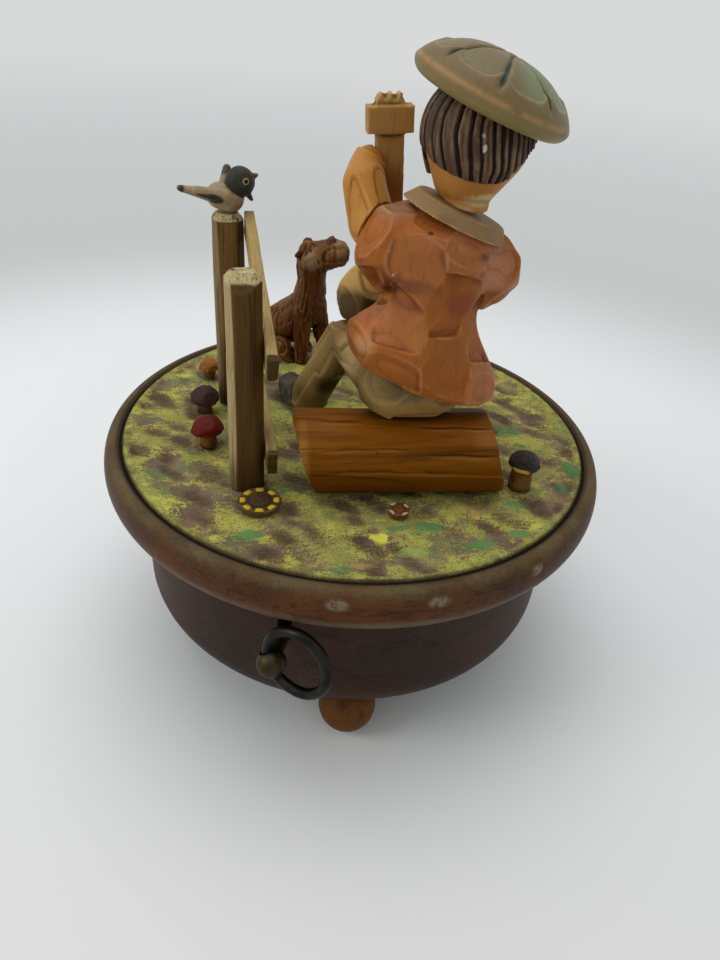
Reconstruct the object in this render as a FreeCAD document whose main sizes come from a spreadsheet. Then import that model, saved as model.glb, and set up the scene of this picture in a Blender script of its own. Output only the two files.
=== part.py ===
import FreeCAD, Part
import functools
import math
import os

import Sketcher
from FreeCAD import Placement, Rotation, Vector

# Figural music box: a turned bowl on ball feet holds a wind-up movement. The movement's spring
# barrel turns a round platform on which a carved boy plays the lute to a dog and a bird.
# Lengths are in millimetres and angles in degrees. The origin is on the platform's axis at the
# table, +Z points up, and the pull rod of the brake points along -Y. Three groups of pieces have
# frames of their own about the same axis: the movement, whose X runs along the pinned cylinder,
# the scene on the platform, whose X runs along the log, and the fence, whose Y runs along its rails.

document = FreeCAD.newDocument("MusicBox")
sheet = document.addObject("Spreadsheet::Sheet", "Sizes")

BOWL_SIZES = {
    "foot_radius": 8.0,
    "foot_flat": 0.3,
    "foot_seat": 0.7,
    "foot_circle": 50.0,
    "foot_turn": -73.0,
    "tenon_radius": 3.0,
    "tenon_length": 4.0,
    "bowl_radius": 60.6,
    "bowl_height": 40.2,
    "bowl_wall": 4.6,
    "bowl_floor": 6.0,
    "bowl_rounding": 11.5,
    "bowl_lip": 0.8,
    "key_hole_radius": 7.0,
    "platform_gap": 0.7,
    "rim_overhang": 9.4,
    "platform_thickness": 12.8,
    "platform_edge_in": 4.8,
    "platform_edge_low": 6.4,
    "shoulder_share": 0.62,
    "groove_inset": 4.8,
    "groove_width": 1.4,
    "groove_depth": 1.0,
    "bush_radius": 4.0,
    "bush_depth": 6.5,
    "bush_flange_radius": 8.0,
    "bush_flange": 1.6,
}

PULL_SIZES = {
    "rod_drop": 11.7,
    "rod_radius": 1.5,
    "knob_inset": 0.5,
    "rod_travel": 5.0,
    "tip_radius": 0.6,
    "collar_radius": 2.6,
    "collar_width": 1.0,
    "guide_width": 10.0,
    "guide_height": 13.0,
    "guide_depth": 3.4,
    "knob_radius": 3.6,
    "ring_radius": 8.2,
    "ring_wire": 1.35,
    "eye_clearance": 0.1,
    "eye_tilt": 27.8,
    "eye_lean": 14.5,
    "ring_swing": -11.1,
    "slot_clearance": 0.3,
}

MOVEMENT_SIZES = {
    "running_clearance": 0.05,
    "bedplate_thickness": 2.5,
    "bedplate_back": 22.0,
    "bedplate_front": 45.0,
    "bedplate_side": 23.0,
    "boss_height": 0.8,
    "boss_radius": 5.0,
    "washer_thickness": 0.6,
    "arbor_radius": 2.0,
    "arbor_core_radius": 3.5,
    "crown_teeth": 36,
    "crown_radius": 14.5,
    "crown_inner": 13.5,
    "crown_outer": 15.1,
    "crown_rim": 2.3,
    "crown_depth": 0.95,
    "drum_radius": 11.5,
    "drum_wall": 1.2,
    "drum_height": 15.0,
    "cover_thickness": 1.2,
    "spindle_radius": 2.0,
    "pinion_teeth": 16,
    "cylinder_start": 17.6,
    "cylinder_radius": 6.4,
    "cylinder_bore": 5.4,
    "pin_height": 0.7,
    "pin_width": 0.45,
    "comb_teeth": 18,
    "tooth_pitch": 1.15,
    "tooth_slit": 0.3,
    "comb_thickness": 1.0,
    "comb_clearance": 0.3,
    "comb_rest_depth": 7.5,
    "comb_tooth_bass": 9.0,
    "comb_tooth_treble": 6.5,
    "cylinder_shaft_radius": 1.0,
    "bracket_thickness": 1.4,
    "bracket_width": 8.0,
    "bracket_gap": 0.4,
    "wheel_teeth": 48,
    "wheel_thickness": 1.6,
    "wheel_gap": 0.8,
    "governor_pinion_teeth": 12,
    "governor_module": 0.41,
    "worm_wheel_teeth": 16,
    "worm_module": 0.5,
    "worm_wheel_thickness": 1.2,
    "worm_radius": 1.5,
    "governor_at": 35.0,
    "governor_shaft_radius": 0.6,
    "governor_arm": 1.0,
    "fan_radius": 6.5,
    "fan_thickness": 0.4,
    "brake_radius": 2.0,
    "brake_gap": 0.1,
    "screw_radius": 1.5,
    "screw_head_radius": 3.0,
    "screw_head": 2.2,
    "screw_clearance": 0.2,
    "screw_sunk": 0.3,
    "small_screw_radius": 1.0,
    "bridge_width": 8.0,
    "bridge_thickness": 2.0,
    "bridge_gap": 0.4,
    "spring_turns": 6,
    "spring_thickness": 0.35,
    "spring_width": 9.0,
    "click_turns": 4,
    "click_wire": 0.7,
    "key_wing_radius": 5.5,
    "key_wing_reach": 7.5,
    "key_thickness": 1.8,
    "key_hub_radius": 3.4,
    "key_floor_gap": 2.0,
}

SCENE_SIZES = {
    "scene_turn": 21.2,
    "log_length": 48.3,
    "log_radius": 10.8,
    "log_flat": 0.5,
    "log_slant": 16.7,
    "log_x": 7.4,
    "log_y": -28.5,
    "fence_x": -30.7,
    "fence_y": -28.0,
    "fence_turn": 6.1,
    "post_width": 8.4,
    "post_depth": 8.0,
    "post_chamfer": 2.0,
    "post_crown": 1.6,
    "post_height": 55.0,
    "post_spacing": 43.2,
    "rail_thickness": 2.7,
    "rail_width": 7.0,
    "rail_overhang": 6.0,
    "upper_rail_drop": 23.7,
    "upper_rail_length": 54.0,
    "upper_rail_slope": 19.0,
    "lower_rail_drop": 48.7,
    "lower_rail_length": 52.0,
    "lower_rail_slope": 11.0,
}

# Places on the carved figures, each from the seat: the top of the log under the boy
FIGURE_PLACES = {
    "hips": (0.5, 3.0, 5.5),
    "left_hip": (-5.2, 6.5, 5.9),
    "left_knee": (-13.5, 24.0, 8.9),
    "left_ankle": (-21.0, 34.0, -13.5),
    "left_heel": (-24.2, 40.5, -17.2),
    "left_toe": (-26.2, 48.5, -18.2),
    "right_hip": (5.6, 7.0, 5.7),
    "right_knee": (13.0, 28.5, 6.5),
    "right_ankle": (13.5, 38.5, -13.5),
    "right_heel": (14.2, 43.5, -17.2),
    "right_toe": (15.0, 51.5, -18.2),
    "hem": (3.5, 4.0, 8.4),
    "skirt": (2.6, 4.5, 18.6),
    "waist": (3.0, 5.0, 25.4),
    "chest": (4.5, 6.0, 35.0),
    "shoulders": (7.2, 7.5, 43.9),
    "yoke": (4.8, 6.0, 37.0),
    "left_shoulder": (-5.6, 6.6, 39.6),
    "left_sleeve": (-6.8, 6.6, 36.0),
    "right_shoulder": (15.4, 6.8, 35.0),
    "right_sleeve": (16.4, 8.6, 31.6),
    "right_elbow": (18.0, 15.0, 29.0),
    "right_wrist": (6.5, 25.0, 20.0),
    "right_hand": (2.2, 27.6, 19.2),
    "right_fingers": (-2.4, 28.4, 18.0),
    "left_elbow": (-10.0, 12.5, 41.0),
    "left_forearm": (-12.0, 16.5, 48.4),
    "left_wrist": (-11.8, 20.6, 50.4),
    "left_hand": (-10.4, 23.4, 51.8),
    "head": (9.6, 8.5, 61.0),
    "beret": (11.4, 8.5, 68.8),
    "lute_heart": (-4.6, 23.0, 18.9),
    "lute_nut": (-7.0, 24.0, 65.9),
}

FIGURE_SIZES = {
    "boy_x": 8.0,
    "hips_across": 12.5,
    "hips_radius": 8.6,
    "thigh_radius": 7.0,
    "knee_radius": 5.0,
    "cuff_radius": 6.0,
    "shoe_radius": 4.6,
    "toe_radius": 3.6,
    "hem_across": 18.0,
    "hem_deep": 13.0,
    "hem_lean": 17.0,
    "skirt_across": 16.0,
    "skirt_deep": 11.5,
    "skirt_lean": 14.0,
    "waist_across": 11.6,
    "waist_deep": 8.6,
    "waist_lean": 6.0,
    "chest_across": 14.5,
    "chest_deep": 10.0,
    "chest_lean": 8.0,
    "shoulders_across": 11.5,
    "shoulders_deep": 8.5,
    "shoulders_lean": 21.0,
    "sleeve_radius": 7.8,
    "yoke_radius": 9.6,
    "elbow_radius": 5.6,
    "forearm_radius": 5.0,
    "wrist_radius": 3.8,
    "hand_radius": 3.9,
    "palm_radius": 3.3,
    "finger_radius": 2.3,
    "collar_across": 13.0,
    "collar_deep": 10.5,
    "collar_thickness": 3.0,
    "collar_taper": 0.8,
        "neck_radius": 5.0,
    "head_radius": 11.1,
    "jaw_drop": 7.2,
    "jaw_radius": 7.6,
    "nose_radius": 1.9,
    "head_lean": 8.0,
    "hair_thickness": 1.1,
    "nape_drop": 8.6,
    "beret_radius": 17.3,
    "beret_crown": 7.0,
    "beret_brim": 2.6,
    "beret_shoulder": 48.0,
    "beret_lean": 19.0,
    "beret_back_lean": 5.0,
    "lute_radius": 11.4,
    "lute_deep": 5.6,
    "lute_face": 3.4,
    "lute_shoulder": 50.0,
    "lute_neck_width": 6.4,
    "lute_neck_thickness": 3.0,
    "lute_neck_lean": 4.8,
    "lute_neck_length": 39.0,
    "peg_block_width": 10.4,
    "peg_block_drop": 2.5,
    "peg_block_height": 5.6,
    "peg_block_thickness": 4.4,
}

ANIMAL_SIZES = {
    "dog_x": -13.0,
    "dog_y": 43.0,
    "dog_chest_radius": 6.0,
    "dog_rump_radius": 7.0,
    "dog_leg_radius": 2.2,
    "dog_neck_radius": 4.4,
    "dog_head_radius": 5.2,
    "dog_muzzle_radius": 4.4,
    "dog_nose_radius": 1.6,
    "bird_head_radius": 3.7,
    "bird_body_long": 4.9,
    "bird_body_across": 3.6,
    "bird_tail_tip": 0.8,
    "bird_beak_root": 1.7,
    "bird_beak_tip": 0.5,
    "bird_wing_radius": 1.9,
    "bird_wing_taper": 0.55,
}

DOG_PLACES = {
    "dog_chest": (1.5, 0.0, 18.6),
    "dog_rump": (-7.5, 5.5, 9.5),
    "dog_nape": (2.0, -0.6, 27.5),
    "dog_skull": (1.9, -0.6, 34.5),
    "dog_muzzle": (8.9, -3.5, 36.8),
    "dog_nose": (7.2, -3.6, 40.8),
    "dog_near_ear": (-0.2, -3.0, 38.6),
    "dog_near_ear_tip": (-3.2, -4.2, 36.0),
    "dog_near_shoulder": (-0.6, -3.0, 18.0),
    "dog_near_paw": (-0.8, -3.4, 0.0),
    "dog_near_haunch": (-8.5, 2.5, 6.5),
    "dog_near_stifle": (-7.0, -1.0, 5.5),
    "dog_near_hind_paw": (-5.0, -2.5, 0.8),
    "dog_far_ear": (0.7, 2.6, 37.9),
    "dog_far_ear_tip": (-0.2, 4.4, 33.5),
    "dog_far_shoulder": (4.6, 1.4, 17.5),
    "dog_far_paw": (7.3, 2.0, 0.0),
    "dog_far_haunch": (-5.0, 8.0, 6.5),
    "dog_far_stifle": (-1.5, 8.5, 5.5),
    "dog_far_hind_paw": (1.5, 7.5, 0.8),
}

BIRD_PLACES = {
    "bird_body": (-0.5, 0.0, 3.2),
    "bird_skull": (3.5, 0.0, 7.2),
    "bird_tail": (-11.4, 0.0, 5.4),
    "bird_wing": (-0.4, 2.6, 4.2),
    "bird_folded_tip": (-7.6, 2.6, 5.6),
    "bird_lifted_tip": (0.6, 4.2, 9.4),
    "bird_upper_beak": (7.7, 0.0, 8.9),
    "bird_lower_beak": (6.3, 0.0, 2.9),
}

# Mushrooms and flowers: each has its place on the platform, then its own sizes
GROUND_PIECES = {
    "red_mushroom": {"x": -41.3, "y": -10.4, "cap": 4.5, "cap_up": 4.6, "stem": 2.6},
    "plum_mushroom": {"x": -43.0, "y": 7.2, "cap": 4.4, "cap_up": 4.0, "stem": 2.4},
    "tan_mushroom": {"x": -42.8, "y": 29.0, "cap": 3.4, "cap_up": 3.0, "stem": 2.0},
    "dark_mushroom": {"x": 40.0, "y": -30.6, "cap": 4.3, "cap_up": 6.6, "stem": 3.2},
}
FLOWER_SIZES = {
    "large_flower_x": -27.6,
    "large_flower_y": -37.6,
    "large_flower_radius": 5.4,
    "large_flower_height": 2.4,
    "small_flower_x": 6.0,
    "small_flower_y": -41.8,
    "small_flower_radius": 2.8,
    "small_flower_height": 2.4,
}


class Measure:
    """A size from the sheet, or a formula of such sizes: its text there and its value."""

    def __init__(self, text, value):
        self.text = text
        self.value = value

    def __add__(self, other):
        other = measure(other)
        return Measure(f"({self.text} + {other.text})", self.value + other.value)

    def __sub__(self, other):
        other = measure(other)
        return Measure(f"({self.text} - {other.text})", self.value - other.value)

    def __mul__(self, other):
        other = measure(other)
        return Measure(f"({self.text} * {other.text})", self.value * other.value)

    def __truediv__(self, other):
        other = measure(other)
        return Measure(f"({self.text} / {other.text})", self.value / other.value)

    def __radd__(self, other):
        return measure(other) + self

    def __rsub__(self, other):
        return measure(other) - self

    def __rmul__(self, other):
        return measure(other) * self

    def __neg__(self):
        return measure(0) - self


def measure(number):
    """A plain number as a Measure, and a Measure as it is."""
    if isinstance(number, Measure):
        return number
    return Measure(repr(float(number)), float(number))


def sine(angle):
    return Measure(f"sin({angle.text})", math.sin(math.radians(angle.value)))


def cosine(angle):
    return Measure(f"cos({angle.text})", math.cos(math.radians(angle.value)))


def root(square):
    return Measure(f"sqrt({square.text})", math.sqrt(square.value))


def arc_tangent(ratio):
    return Measure(f"(atan({ratio.text}) / 1 deg)", math.degrees(math.atan(ratio.value)))


SHEET_VALUES = {}


def fill_sheet(values):
    """Writes named numbers into the sheet, one row each, with the name as the cell's alias."""
    for name, value in values.items():
        row = len(SHEET_VALUES) + 1
        sheet.set(f"A{row}", name)
        sheet.set(f"B{row}", repr(value))
        sheet.setAlias(f"B{row}", name)
        SHEET_VALUES[name] = float(value)


def size(name):
    return Measure(f"Sizes.{name}", SHEET_VALUES[name])


def place(name, origin=(0, 0, 0)):
    """The three measures of a named place, counted from an origin."""
    return tuple(measure(start) + size(f"{name}_{axis}") for start, axis in zip(origin, "xyz"))


for group in (BOWL_SIZES, PULL_SIZES, MOVEMENT_SIZES, SCENE_SIZES, FIGURE_SIZES, ANIMAL_SIZES, FLOWER_SIZES):
    fill_sheet(group)
for group in (FIGURE_PLACES, DOG_PLACES, BIRD_PLACES):
    for name, point in group.items():
        fill_sheet({f"{name}_{axis}": number for axis, number in zip("xyz", point)})
for name, numbers in GROUND_PIECES.items():
    fill_sheet({f"{name}_{word}": number for word, number in numbers.items()})
document.recompute()

# Shapes: primitives and booleans of the document, their sizes bound to the sheet

ALONG = {
    "X": Rotation(Vector(0, 1, 0), 90),
    "Y": Rotation(Vector(1, 0, 0), -90),
    "Z": Rotation(),
}
NODES = []


def primitive(kind, at, rotation=None, **sizes):
    """A Part primitive whose sizes and place follow the sheet."""
    shape = document.addObject(f"Part::{kind}", kind)
    if rotation:
        shape.Placement = Placement(Vector(), rotation)
    for name, value in sizes.items():
        shape.setExpression(name, measure(value).text)
    for axis, value in zip("xyz", at):
        shape.setExpression(f"Placement.Base.{axis}", measure(value).text)
    return shape


def cylinder(radius, height, at=(0, 0, 0), along="Z"):
    return primitive("Cylinder", at, ALONG[along], Radius=radius, Height=height)


def cone(low_radius, high_radius, height, at=(0, 0, 0), along="Z"):
    return primitive("Cone", at, ALONG[along], Radius1=low_radius, Radius2=high_radius, Height=height)


def sphere(radius, at):
    return primitive("Sphere", at, Radius=radius)


def block(low, high, rotation=None):
    """A box from its low corner to its high corner."""
    length, width, height = (measure(b) - measure(a) for a, b in zip(low, high))
    return primitive("Box", low, rotation, Length=length, Width=width, Height=height)


def fuse(*shapes):
    joined = document.addObject("Part::MultiFuse", "Fuse")
    joined.Shapes = list(shapes)
    return joined


def cut(base, *tools):
    for tool in tools:
        result = document.addObject("Part::Cut", "Cut")
        result.Base = base
        result.Tool = tool
        base = result
    return base


def common(*shapes):
    shared = document.addObject("Part::MultiCommon", "Common")
    shared.Shapes = list(shapes)
    return shared


def formed(shape, label="Formed"):
    """A shape worked out by formulas, held by the document as it is."""
    holder = document.addObject("Part::Feature", label)
    holder.Shape = shape
    return holder


def node(label, *shapes, turn=None, at=None):
    """A named piece of the music box, turned about the axis of its group and set in its place."""
    piece = document.addObject("Part::Compound", label)
    piece.Label = label
    piece.Links = list(shapes)
    turn = measure(0) if turn is None else turn
    piece.Placement = Placement(Vector(), Rotation(Vector(0, 0, 1), turn.value))
    if turn.value:
        piece.setExpression("Placement.Rotation.Angle", turn.text)
    if at:
        for axis, value in zip("xyz", at):
            piece.setExpression(f"Placement.Base.{axis}", measure(value).text)
    NODES.append(piece)
    return piece


def values(*measures):
    return [measure(each).value for each in measures]


def vector(point):
    return Vector(*values(*point))


# Bodies with sketches, for pieces that are turned or sawn from a profile


def origin_plane(body, role):
    return next(feature for feature in body.Origin.OriginFeatures if feature.Role == role)


def outline_sketch(body, role, points):
    """A closed outline of straight lines whose corners are tied to the sheet."""
    sketch = body.newObject("Sketcher::SketchObject", "Outline")
    sketch.AttachmentSupport = [(origin_plane(body, role), "")]
    sketch.MapMode = "FlatFace"
    corners = [Vector(measure(u).value, measure(v).value, 0) for u, v in points]
    for start, end in zip(corners, corners[1:] + corners[:1]):
        sketch.addGeometry(Part.LineSegment(start, end))
    count = len(corners)
    for index in range(count):
        sketch.addConstraint(Sketcher.Constraint("Coincident", index, 2, (index + 1) % count, 1))
    for index, (u, v) in enumerate(points):
        for kind, number in (("DistanceX", measure(u)), ("DistanceY", measure(v))):
            row = sketch.addConstraint(Sketcher.Constraint(kind, -1, 1, index, 1, number.value))
            sketch.setExpression(f"Constraints[{row}]", number.text)
    return sketch


def turned_body(name, points):
    """A body turned about the Z axis from an outline of radii and heights."""
    body = document.addObject("PartDesign::Body", name)
    sketch = outline_sketch(body, "XZ_Plane", points)
    turning = body.newObject("PartDesign::Revolution", "Turning")
    turning.Profile = sketch
    turning.ReferenceAxis = (sketch, ["V_Axis"])
    turning.Angle = 360
    document.recompute()
    return body


def sawn_body(name, points, height, level=0):
    """A body sawn to an outline in X and Y, from a level up by a height."""
    body = document.addObject("PartDesign::Body", name)
    sketch = outline_sketch(body, "XY_Plane", points)
    sketch.setExpression(".AttachmentOffset.Base.z", measure(level).text)
    pad = body.newObject("PartDesign::Pad", "Thickness")
    pad.Profile = sketch
    pad.setExpression("Length", measure(height).text)
    document.recompute()
    return body


def round_edges(body, radius, chosen, kind="Fillet"):
    """Rounds or chamfers the edges of a body's last feature that a test chooses."""
    base = body.Tip
    names = [f"Edge{number}" for number, edge in enumerate(base.Shape.Edges, 1) if chosen(edge)]
    dressing = body.newObject(f"PartDesign::{kind}", kind)
    dressing.Base = (base, names)
    dressing.setExpression("Radius" if kind == "Fillet" else "Size", measure(radius).text)
    document.recompute()
    return body


def circle_edge(radius, height):
    """A test for a circular edge about the Z axis with this radius at this height."""
    radius, height = values(radius, height)

    def chosen(edge):
        curve = edge.Curve
        if not isinstance(curve, Part.Circle):
            return False
        same_radius = abs(curve.Radius - radius) < 0.01
        return same_radius and abs(curve.Center.z - height) < 0.01 and abs(curve.Center.x) < 0.01

    return chosen


# Levels of the stack, from the table up

bowl_bottom = 2 * size("foot_radius") - size("foot_flat") - size("foot_seat")
cavity_floor = bowl_bottom + size("bowl_floor")
bowl_top = bowl_bottom + size("bowl_height")
platform_under = bowl_top + size("platform_gap")
ground = platform_under + size("platform_thickness")
cavity_radius = size("bowl_radius") - size("bowl_wall")
platform_radius = size("bowl_radius") + size("rim_overhang")
rod_reach = platform_radius - size("knob_inset")
rod_level = bowl_top - size("rod_drop")
clearance = size("running_clearance")

bedplate_top = cavity_floor + size("bedplate_thickness")
boss_top = bedplate_top + size("boss_height")
washer_top = boss_top + size("washer_thickness")
barrel_bottom = washer_top + clearance
crown_module = 2 * size("crown_radius") / size("crown_teeth")
crown_root = barrel_bottom + size("crown_rim")
crown_pitch_level = crown_root + size("crown_depth") * crown_module
pinion_radius = crown_module * size("pinion_teeth") / 2
cylinder_level = crown_pitch_level + pinion_radius
drum_top = barrel_bottom + size("drum_height")
cover_top = drum_top + size("cover_thickness")
bridge_under = cover_top + size("bridge_gap")
bridge_top = bridge_under + size("bridge_thickness")

pin_circle = size("cylinder_radius") + size("pin_height")
cylinder_length = size("comb_teeth") * size("tooth_pitch")
cylinder_end = size("cylinder_start") + cylinder_length
wheel_start = cylinder_end + size("wheel_gap")
wheel_end = wheel_start + size("wheel_thickness")
wheel_radius = size("governor_module") * size("wheel_teeth") / 2
governor_pinion_radius = size("governor_module") * size("governor_pinion_teeth") / 2
governor_axis = -(wheel_radius + governor_pinion_radius)
worm_wheel_radius = size("worm_module") * size("worm_wheel_teeth") / 2
worm_axis = governor_axis - worm_wheel_radius - size("worm_radius")
worm_lead = math.pi * size("worm_module")

# The movement is turned so that the governor's upright shaft stands on the pull rod's line
governor_reach = root(size("governor_at") * size("governor_at") + worm_axis * worm_axis)
movement_turn = arc_tangent(-worm_axis / size("governor_at")) - 90
scene_turn = size("scene_turn")

# Turned bowl, ball feet and the screws that hold the movement


def around(radius, angle, level):
    """A point at a radius and an angle about the platform's axis."""
    return (radius * cosine(angle), radius * sine(angle), level)


def foot_places():
    return [around(size("foot_circle"), size("foot_turn") + 120 * index, measure(0)) for index in range(3)]


BEDPLATE_SCREWS = ((-17.0, 14.0), (-17.0, -14.0), (29.0, 0.0))


def screw_places():
    """The three screws under the bedplate, from the movement's frame to the bowl's."""
    turned = []
    for x, y in BEDPLATE_SCREWS:
        turned.append((cosine(movement_turn) * x - sine(movement_turn) * y,
                       sine(movement_turn) * x + cosine(movement_turn) * y))
    return turned


def make_bowl():
    inner = cavity_radius
    body = turned_body("BowlTurning", [
        (size("key_hole_radius"), bowl_bottom),
        (size("bowl_radius"), bowl_bottom),
        (size("bowl_radius"), bowl_top),
        (inner, bowl_top),
        (inner, cavity_floor),
        (size("key_hole_radius"), cavity_floor),
    ])
    round_edges(body, size("bowl_rounding"), circle_edge(size("bowl_radius"), bowl_bottom))
    round_edges(body, size("bowl_lip"), circle_edge(size("bowl_radius"), bowl_top))
    tools = [cylinder(size("tenon_radius"), size("tenon_length"), (x, y, bowl_bottom))
             for x, y, _ in foot_places()]
    loose, sunk = size("screw_clearance"), size("screw_sunk")
    for x, y in screw_places():
        start = (x, y, bowl_bottom)
        tools.append(cylinder(size("screw_radius") + loose, size("bowl_floor"), start))
        tools.append(cylinder(size("screw_head_radius") + loose, size("screw_head") + sunk, start))
    slot = size("rod_radius") + size("slot_clearance")
    wall_length = size("bowl_wall") * 2 + 1
    start = -size("bowl_radius") - size("bowl_wall")
    tools.append(cylinder(slot, wall_length, (0, start, rod_level), "Y"))
    tools.append(block((-slot, start, rod_level), (slot, start + wall_length, bowl_top + 1)))
    node("bowl", cut(body, *tools))


def make_feet():
    for number, (x, y, _) in enumerate(foot_places(), 1):
        ball = sphere(size("foot_radius"), (x, y, size("foot_radius") - size("foot_flat")))
        reach = size("foot_radius") + 1
        slab = block((x - reach, y - reach, 0), (x + reach, y + reach, bowl_bottom))
        tenon = cylinder(size("tenon_radius"), size("tenon_length") + 1, (x, y, bowl_bottom - 1))
        node(f"ball_foot_{number}", fuse(common(ball, slab), tenon))


def make_movement_screws():
    head_under = bowl_bottom + size("screw_sunk")
    head_top = head_under + size("screw_head")
    screws = []
    for x, y in screw_places():
        head = cylinder(size("screw_head_radius"), size("screw_head"), (x, y, head_under))
        shank = cylinder(size("screw_radius"), bedplate_top - head_top + 0.5, (x, y, head_top - 0.5))
        screws.append(fuse(head, shank))
    node("movement_screws", *screws)


# Platform


def make_platform():
    """The turned disc: an elliptical rounding below, a bull nose edge and a groove on top."""
    radius, under, top = values(platform_radius, platform_under, ground)
    edge_in, edge_low = values(size("platform_edge_in"), size("platform_edge_low"))
    groove, half_groove, depth = values(platform_radius - size("groove_inset"), size("groove_width") / 2,
                                        size("groove_depth"))
    bush = size("bush_radius").value
    bush_top = under + size("bush_depth").value
    corner = Vector(radius - edge_in, 0, under)
    waist = Vector(radius, 0, under + edge_low)
    shoulder = Vector(radius - edge_in * size("shoulder_share").value, 0, top)
    slope = math.sqrt(0.5)

    def quarter(start, end, centre):
        """The middle point of an elliptical quarter from start to end about a centre."""
        return centre + (start - centre) * slope + (end - centre) * slope

    low_mid = quarter(corner, waist, Vector(corner.x, 0, waist.z))
    high_mid = quarter(waist, shoulder, Vector(shoulder.x, 0, waist.z))
    points = [Vector(0, 0, bush_top), Vector(bush, 0, bush_top), Vector(bush, 0, under), corner]
    edges = [Part.LineSegment(a, b).toShape() for a, b in zip(points, points[1:])]
    edges.append(Part.Arc(corner, low_mid, waist).toShape())
    edges.append(Part.Arc(waist, high_mid, shoulder).toShape())
    points = [shoulder, Vector(groove + half_groove, 0, top), Vector(groove, 0, top - depth),
              Vector(groove - half_groove, 0, top), Vector(0, 0, top), Vector(0, 0, bush_top)]
    edges += [Part.LineSegment(a, b).toShape() for a, b in zip(points, points[1:])]
    profile = Part.Face(Part.Wire(edges))
    disc = formed(profile.revolve(Vector(), Vector(0, 0, 1), 360), "PlatformTurning")
    node("platform", disc, turn=scene_turn)
    flange_under = platform_under - size("bush_flange")
    flange = cylinder(size("bush_flange_radius"), size("bush_flange"), (0, 0, flange_under))
    stem = cylinder(size("bush_radius"), size("bush_depth"), (0, 0, platform_under))
    bore_length = size("bush_depth") + size("bush_flange")
    bore = cylinder(size("spindle_radius"), bore_length, (0, 0, flange_under - 0.5))
    node("platform_bush", cut(fuse(flange, stem), bore))


# Pull rod, knob and ring of the brake


def make_pull():
    line = rod_level
    shoulder = -(governor_reach + size("fan_radius") + 0.6)
    knob_at = -rod_reach
    tip_end = -(governor_reach + size("brake_radius") + size("brake_gap"))
    collar_width = size("collar_width")
    stem = cylinder(size("rod_radius"), shoulder - knob_at, (0, knob_at, line), "Y")
    collar = cylinder(size("collar_radius"), collar_width, (0, shoulder - collar_width, line), "Y")
    tip = cylinder(size("tip_radius"), tip_end - shoulder + 1, (0, shoulder - 1, line), "Y")
    knob = sphere(size("knob_radius"), (0, knob_at, line))
    eye_radius = size("ring_wire") + ring_bow() / 2 + size("eye_clearance")
    reach = size("knob_radius") * 2
    x, y, z = eye_axis()
    eye = primitive("Cylinder", (-reach * x, knob_at - reach * y, line - reach * z),
                    Rotation(Vector(0, 0, 1), Vector(*values(x, y, z))), Radius=eye_radius, Height=2 * reach)
    node("pull_rod", cut(fuse(stem, collar, tip), knob))
    node("pull_knob", cut(knob, eye))
    node("pull_ring", formed(pull_ring(), "RingBend"))
    face = -size("bowl_radius") + size("bowl_wall")
    inner = face + size("guide_depth")
    half_width, half_height = size("guide_width") / 2, size("guide_height") / 2
    cheek = block((-half_width, face - 2, line - half_height), (half_width, inner, line + half_height))
    cavity = cylinder(cavity_radius, size("bowl_height"), (0, 0, cavity_floor))
    depth = size("guide_depth")
    bore = cylinder(size("rod_radius") + clearance, depth * 3, (0, face - depth, line), "Y")
    node("rod_guide", cut(common(cheek, cavity), bore))


def ring_bow():
    """How far the ring's bend leaves a straight line over the length of the knob's eye."""
    radius, half = size("ring_radius"), size("knob_radius")
    return radius - root(radius * radius - half * half)


def eye_axis():
    """The direction of the eye drilled through the knob: tilted across the rod and leaned along it."""
    tilt, lean = size("eye_tilt"), size("eye_lean")
    return (-sine(tilt) * cosine(lean), sine(lean), cosine(tilt) * cosine(lean))


def pull_ring():
    """The ring, bent through the knob's eye and swung about the eye's axis."""
    radius, wire, bow = values(size("ring_radius"), size("ring_wire"), ring_bow())
    axis = vector(eye_axis())
    level = Vector(0, 1, 0).cross(axis).normalize()
    sideways = Rotation(axis, size("ring_swing").value).multVec(level)
    knob = Vector(0, -rod_reach.value, rod_level.value)
    centre = knob + sideways * (radius - bow / 2)
    return Part.makeTorus(radius, wire, centre, axis.cross(sideways))


# Movement: bedplate, barrel, pinned cylinder, comb and governor, in the movement's frame


def tooth_outline(teeth, module, addendum, dedendum, share, phase):
    """Corners of a gear with trapezoid teeth: a share of the pitch is tooth at the pitch circle."""
    pitch_radius = teeth * module / 2
    low, high = pitch_radius - dedendum * module, pitch_radius + addendum * module
    half = math.pi / (2 * teeth) * share
    corners = []
    for index in range(int(teeth)):
        middle = phase + 2 * math.pi * index / teeth
        for radius, width in ((low, 1.45), (pitch_radius, 1.0), (high, 0.45)):
            corners.append((radius, middle - half * width))
        for radius, width in ((high, 0.45), (pitch_radius, 1.0), (low, 1.45)):
            corners.append((radius, middle + half * width))
    return [(radius * math.cos(angle), radius * math.sin(angle)) for radius, angle in corners]


def gear(teeth, module, thickness, start, centre, phase, bore):
    """A spur gear across the movement's X axis, from x = start, about a centre in Y and Z."""
    outline = tooth_outline(teeth, module, 0.8, 1.05, 0.8, math.radians(phase))
    points = [Vector(start, centre[0] + y, centre[1] + z) for y, z in outline]
    blank = Part.Face(Part.makePolygon(points + points[:1])).extrude(Vector(thickness, 0, 0))
    hole = Part.makeCylinder(bore, thickness + 2, Vector(start - 1, *centre), Vector(1, 0, 0))
    return blank.cut(hole)


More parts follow.
